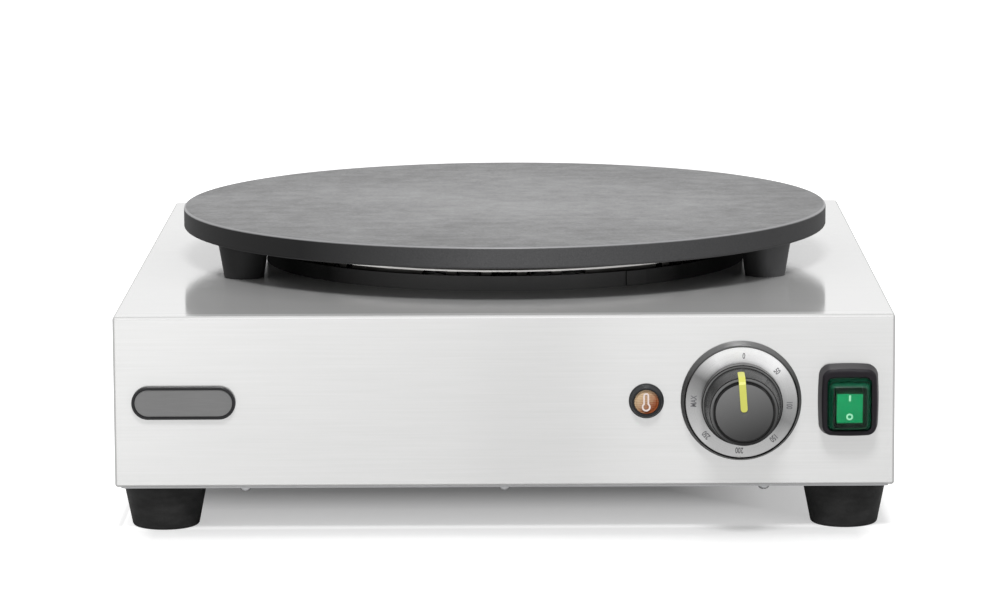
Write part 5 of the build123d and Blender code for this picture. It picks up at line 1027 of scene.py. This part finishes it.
class CREPE_OT_switch(bpy.types.Operator):
    """Rocker switch, splash boot and frame"""

    bl_idname = "crepe.switch"
    bl_label = "Switch"

    # Rings of the boot from its foot to its face: inset at the top, and reach out of the panel, in mm.
    rings = ((0.0, 3.6), (0.0, 9.0), (0.2, 11.3), (0.5, 11.5), (1.2, 10.8), (1.5, 12.9), (2.4, 13.0),
             (3.0, 12.5), (3.2, 12.9), (4.2, 15.8), (4.7, 16.3), (5.6, 16.5))
    side_share, bottom_share = 0.50, 0.42  # of the inset at the top
    side_margin, end_margin = 1.0 * MM, 2.3 * MM  # from the boot's box to its foot
    corner_r, wall = 3.5 * MM, 0.7 * MM
    bar_half_w, bar_half_h, bar_round, bar_up = 0.58 * MM, 1.85 * MM, 0.2 * MM, 6.2 * MM
    ring_outer_r, ring_inner_r, ring_up = 1.98 * MM, 0.98 * MM, -5.1 * MM
    mark_depth, mark_sunk = 0.12 * MM, 0.04 * MM
    tilt, face_reach = radians(10), 12.3 * MM  # of the rocker at rest, from upright and from its pivot
    dish_half_h, dish_depth = 9.1 * MM, 0.5 * MM

    def execute(self, context):
        settings = context.scene.crepe_maker.switch
        paint(moulded("frame_black", (0.014, 0.012, 0.015), blur=0.42, shine=0.14), "switch_boot_frame")
        paint(rocker_green(settings), "switch_rocker")
        paint(moulded("switch_body_black", (0.010, 0.02, 0.015)), "switch_body")
        self.boot(settings)
        self.marks()
        return {"FINISHED"}

    def boot(self, settings):
        """Stepped clear membrane, drawn out ring by ring from its foot."""
        half_w = (BOOT_HIGH.x - BOOT_LOW.x) / 2 - self.side_margin
        half_h = (BOOT_HIGH.z - BOOT_LOW.z) / 2 - self.end_margin
        builder = rounded_plate(half_w, half_h, self.corner_r, 8)
        face = builder.faces[:][0]
        wide, high, middle_z, out = half_w, half_h, 0.0, 0.0
        for inset, reach in self.rings:
            new_wide = half_w - inset * self.side_share * MM
            new_high = half_h - inset * (1 + self.bottom_share) / 2 * MM
            new_middle = -inset * (1 - self.bottom_share) / 2 * MM
            if out > 0.0:
                face = self.drawn_out(builder, face)
            verts = face.verts[:]
            bmesh.ops.translate(builder, verts=verts, vec=(0, -middle_z, -out))
            bmesh.ops.scale(builder, verts=verts, vec=(new_wide / wide, new_high / high, 1.0))
            bmesh.ops.translate(builder, verts=verts, vec=(0, new_middle, reach * MM))
            wide, high, middle_z, out = new_wide, new_high, new_middle, reach * MM
        bmesh.ops.recalc_face_normals(builder, faces=builder.faces[:])
        bmesh.ops.solidify(builder, geom=builder.faces[:], thickness=self.wall)
        bmesh.ops.recalc_face_normals(builder, faces=builder.faces[:])
        stand = facing_front(ROCKER_PIVOT.x, FRONT_Y, ROCKER_PIVOT.z)
        made = piece("boot_stepped", builder, stand, clear_boot(settings), "casing")
        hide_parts("switch_boot")

    def drawn_out(self, builder, face):
        """Extrudes one face and hands back the new one."""
        grown = bmesh.ops.extrude_discrete_faces(builder, faces=[face])
        return grown["faces"][0]

    def marks(self):
        """The on and off marks on the tilted rocker: a bar above and a ring below."""
        ink = print_ink("mark_pale", (0.95, 0.97, 0.95))
        bar = rounded_plate(self.bar_half_w, self.bar_half_h, self.bar_round, 3)
        self.set_on_rocker("mark_on", bar, self.bar_up, ink)
        ring = bmesh.new()
        for radius in (self.ring_outer_r, self.ring_inner_r):
            bmesh.ops.create_circle(ring, cap_ends=False, segments=40, radius=radius)
        bmesh.ops.bridge_loops(ring, edges=ring.edges[:])
        self.set_on_rocker("mark_off", ring, self.ring_up, ink)

    def set_on_rocker(self, name, builder, up, ink):
        """Thickens a flat mark and lays it on the rocker's dished face."""
        thicken(builder, self.mark_depth)
        dish = self.dish_depth * (up / self.dish_half_h) ** 2
        lean = 2 * self.dish_depth * up / self.dish_half_h ** 2
        on_face = Matrix.Translation((0, self.mark_sunk - self.face_reach - dish, up))
        stand = Matrix.Translation(ROCKER_PIVOT) @ Matrix.Rotation(self.tilt, 4, "X") @ on_face
        stand = stand @ Matrix.Rotation(lean + pi / 2, 4, "X")
        piece(name, builder, stand, ink, "rocker", smooth=False)


class CREPE_OT_badge(bpy.types.Operator):
    """Bare badge"""

    bl_idname = "crepe.badge"
    bl_label = "Badge"

    def execute(self, context):
        paint(moulded("badge_black", (0.016, 0.016, 0.017), blur=0.30), "badge_plate")
        paint(badge_face(), "badge_insert")
        return {"FINISHED"}


class CREPE_OT_inner(bpy.types.Operator):
    """Cable gland, terminals, leads and sensors"""

    bl_idname = "crepe.inner"
    bl_label = "Inner pieces"

    def execute(self, context):
        paint(moulded("gland_black", (0.022, 0.022, 0.023), blur=0.45), "cable_gland", "gland_dome_nut",
              "gland_locknut")
        paint(moulded("thermoset_dark", (0.045, 0.035, 0.03), blur=0.4), "thermostat_body",
              "safety_cutout")
        paint(moulded("steatite_cream", (0.72, 0.68, 0.58), blur=0.3, coat=0.4), "terminal_block")
        paint(metal_alloy("brass", (0.72, 0.55, 0.24)), "terminal_screws", "earth_stud", "earth_nut")
        paint(metal_alloy("copper", (0.74, 0.38, 0.22)), "capillary_tube", "thermostat_bulb")
        paint(braid("lead_white", (0.66, 0.62, 0.54)), "power_leads", "heating_leads")
        paint(braid("lead_earth", (0.10, 0.38, 0.08), stripe=(0.74, 0.66, 0.08)), "earth_lead")
        return {"FINISHED"}


class CREPE_PT_sidebar(bpy.types.Panel):
    """Lists the pieces and their settings"""

    bl_idname = "CREPE_PT_sidebar"
    bl_label = "Crepe maker"
    bl_space_type = "VIEW_3D"
    bl_region_type = "UI"
    bl_category = "Crepe maker"

    def draw(self, context):
        settings = context.scene.crepe_maker
        for operator in OPERATORS:
            self.layout.operator(operator.bl_idname)
        for group in (settings.stage, settings.steel, settings.griddle, settings.dial, settings.switch,
                      settings.lamp):
            box = self.layout.box()
            box.label(text=type(group).__doc__)
            for name in group.__annotations__:
                box.prop(group, name)


OPERATORS = (
    CREPE_OT_stage,
    CREPE_OT_casing,
    CREPE_OT_feet,
    CREPE_OT_griddle,
    CREPE_OT_burner,
    CREPE_OT_dial,
    CREPE_OT_knob,
    CREPE_OT_lamp,
    CREPE_OT_switch,
    CREPE_OT_badge,
    CREPE_OT_inner,
)
SETTINGS = (
    StageSettings,
    SteelSettings,
    GriddleSettings,
    DialSettings,
    SwitchSettings,
    LampSettings,
    CrepeMakerSettings,
)


def register():
    for settings_class in SETTINGS:
        bpy.utils.register_class(settings_class)
    bpy.types.Scene.crepe_maker = PointerProperty(type=CrepeMakerSettings)
    for operator in OPERATORS:
        bpy.utils.register_class(operator)
    bpy.utils.register_class(CREPE_PT_sidebar)


def unregister():
    bpy.utils.unregister_class(CREPE_PT_sidebar)
    for operator in reversed(OPERATORS):
        bpy.utils.unregister_class(operator)
    del bpy.types.Scene.crepe_maker
    for settings_class in reversed(SETTINGS):
        bpy.utils.unregister_class(settings_class)


def main():
    """Registers everything and makes every piece in order."""
    register()
    bpy.ops.crepe.stage()
    bpy.ops.crepe.casing()
    bpy.ops.crepe.feet()
    bpy.ops.crepe.griddle()
    bpy.ops.crepe.burner()
    bpy.ops.crepe.dial()
    bpy.ops.crepe.knob()
    bpy.ops.crepe.lamp()
    bpy.ops.crepe.switch()
    bpy.ops.crepe.badge()
    bpy.ops.crepe.inner()


if __name__ == "__main__":
    main()
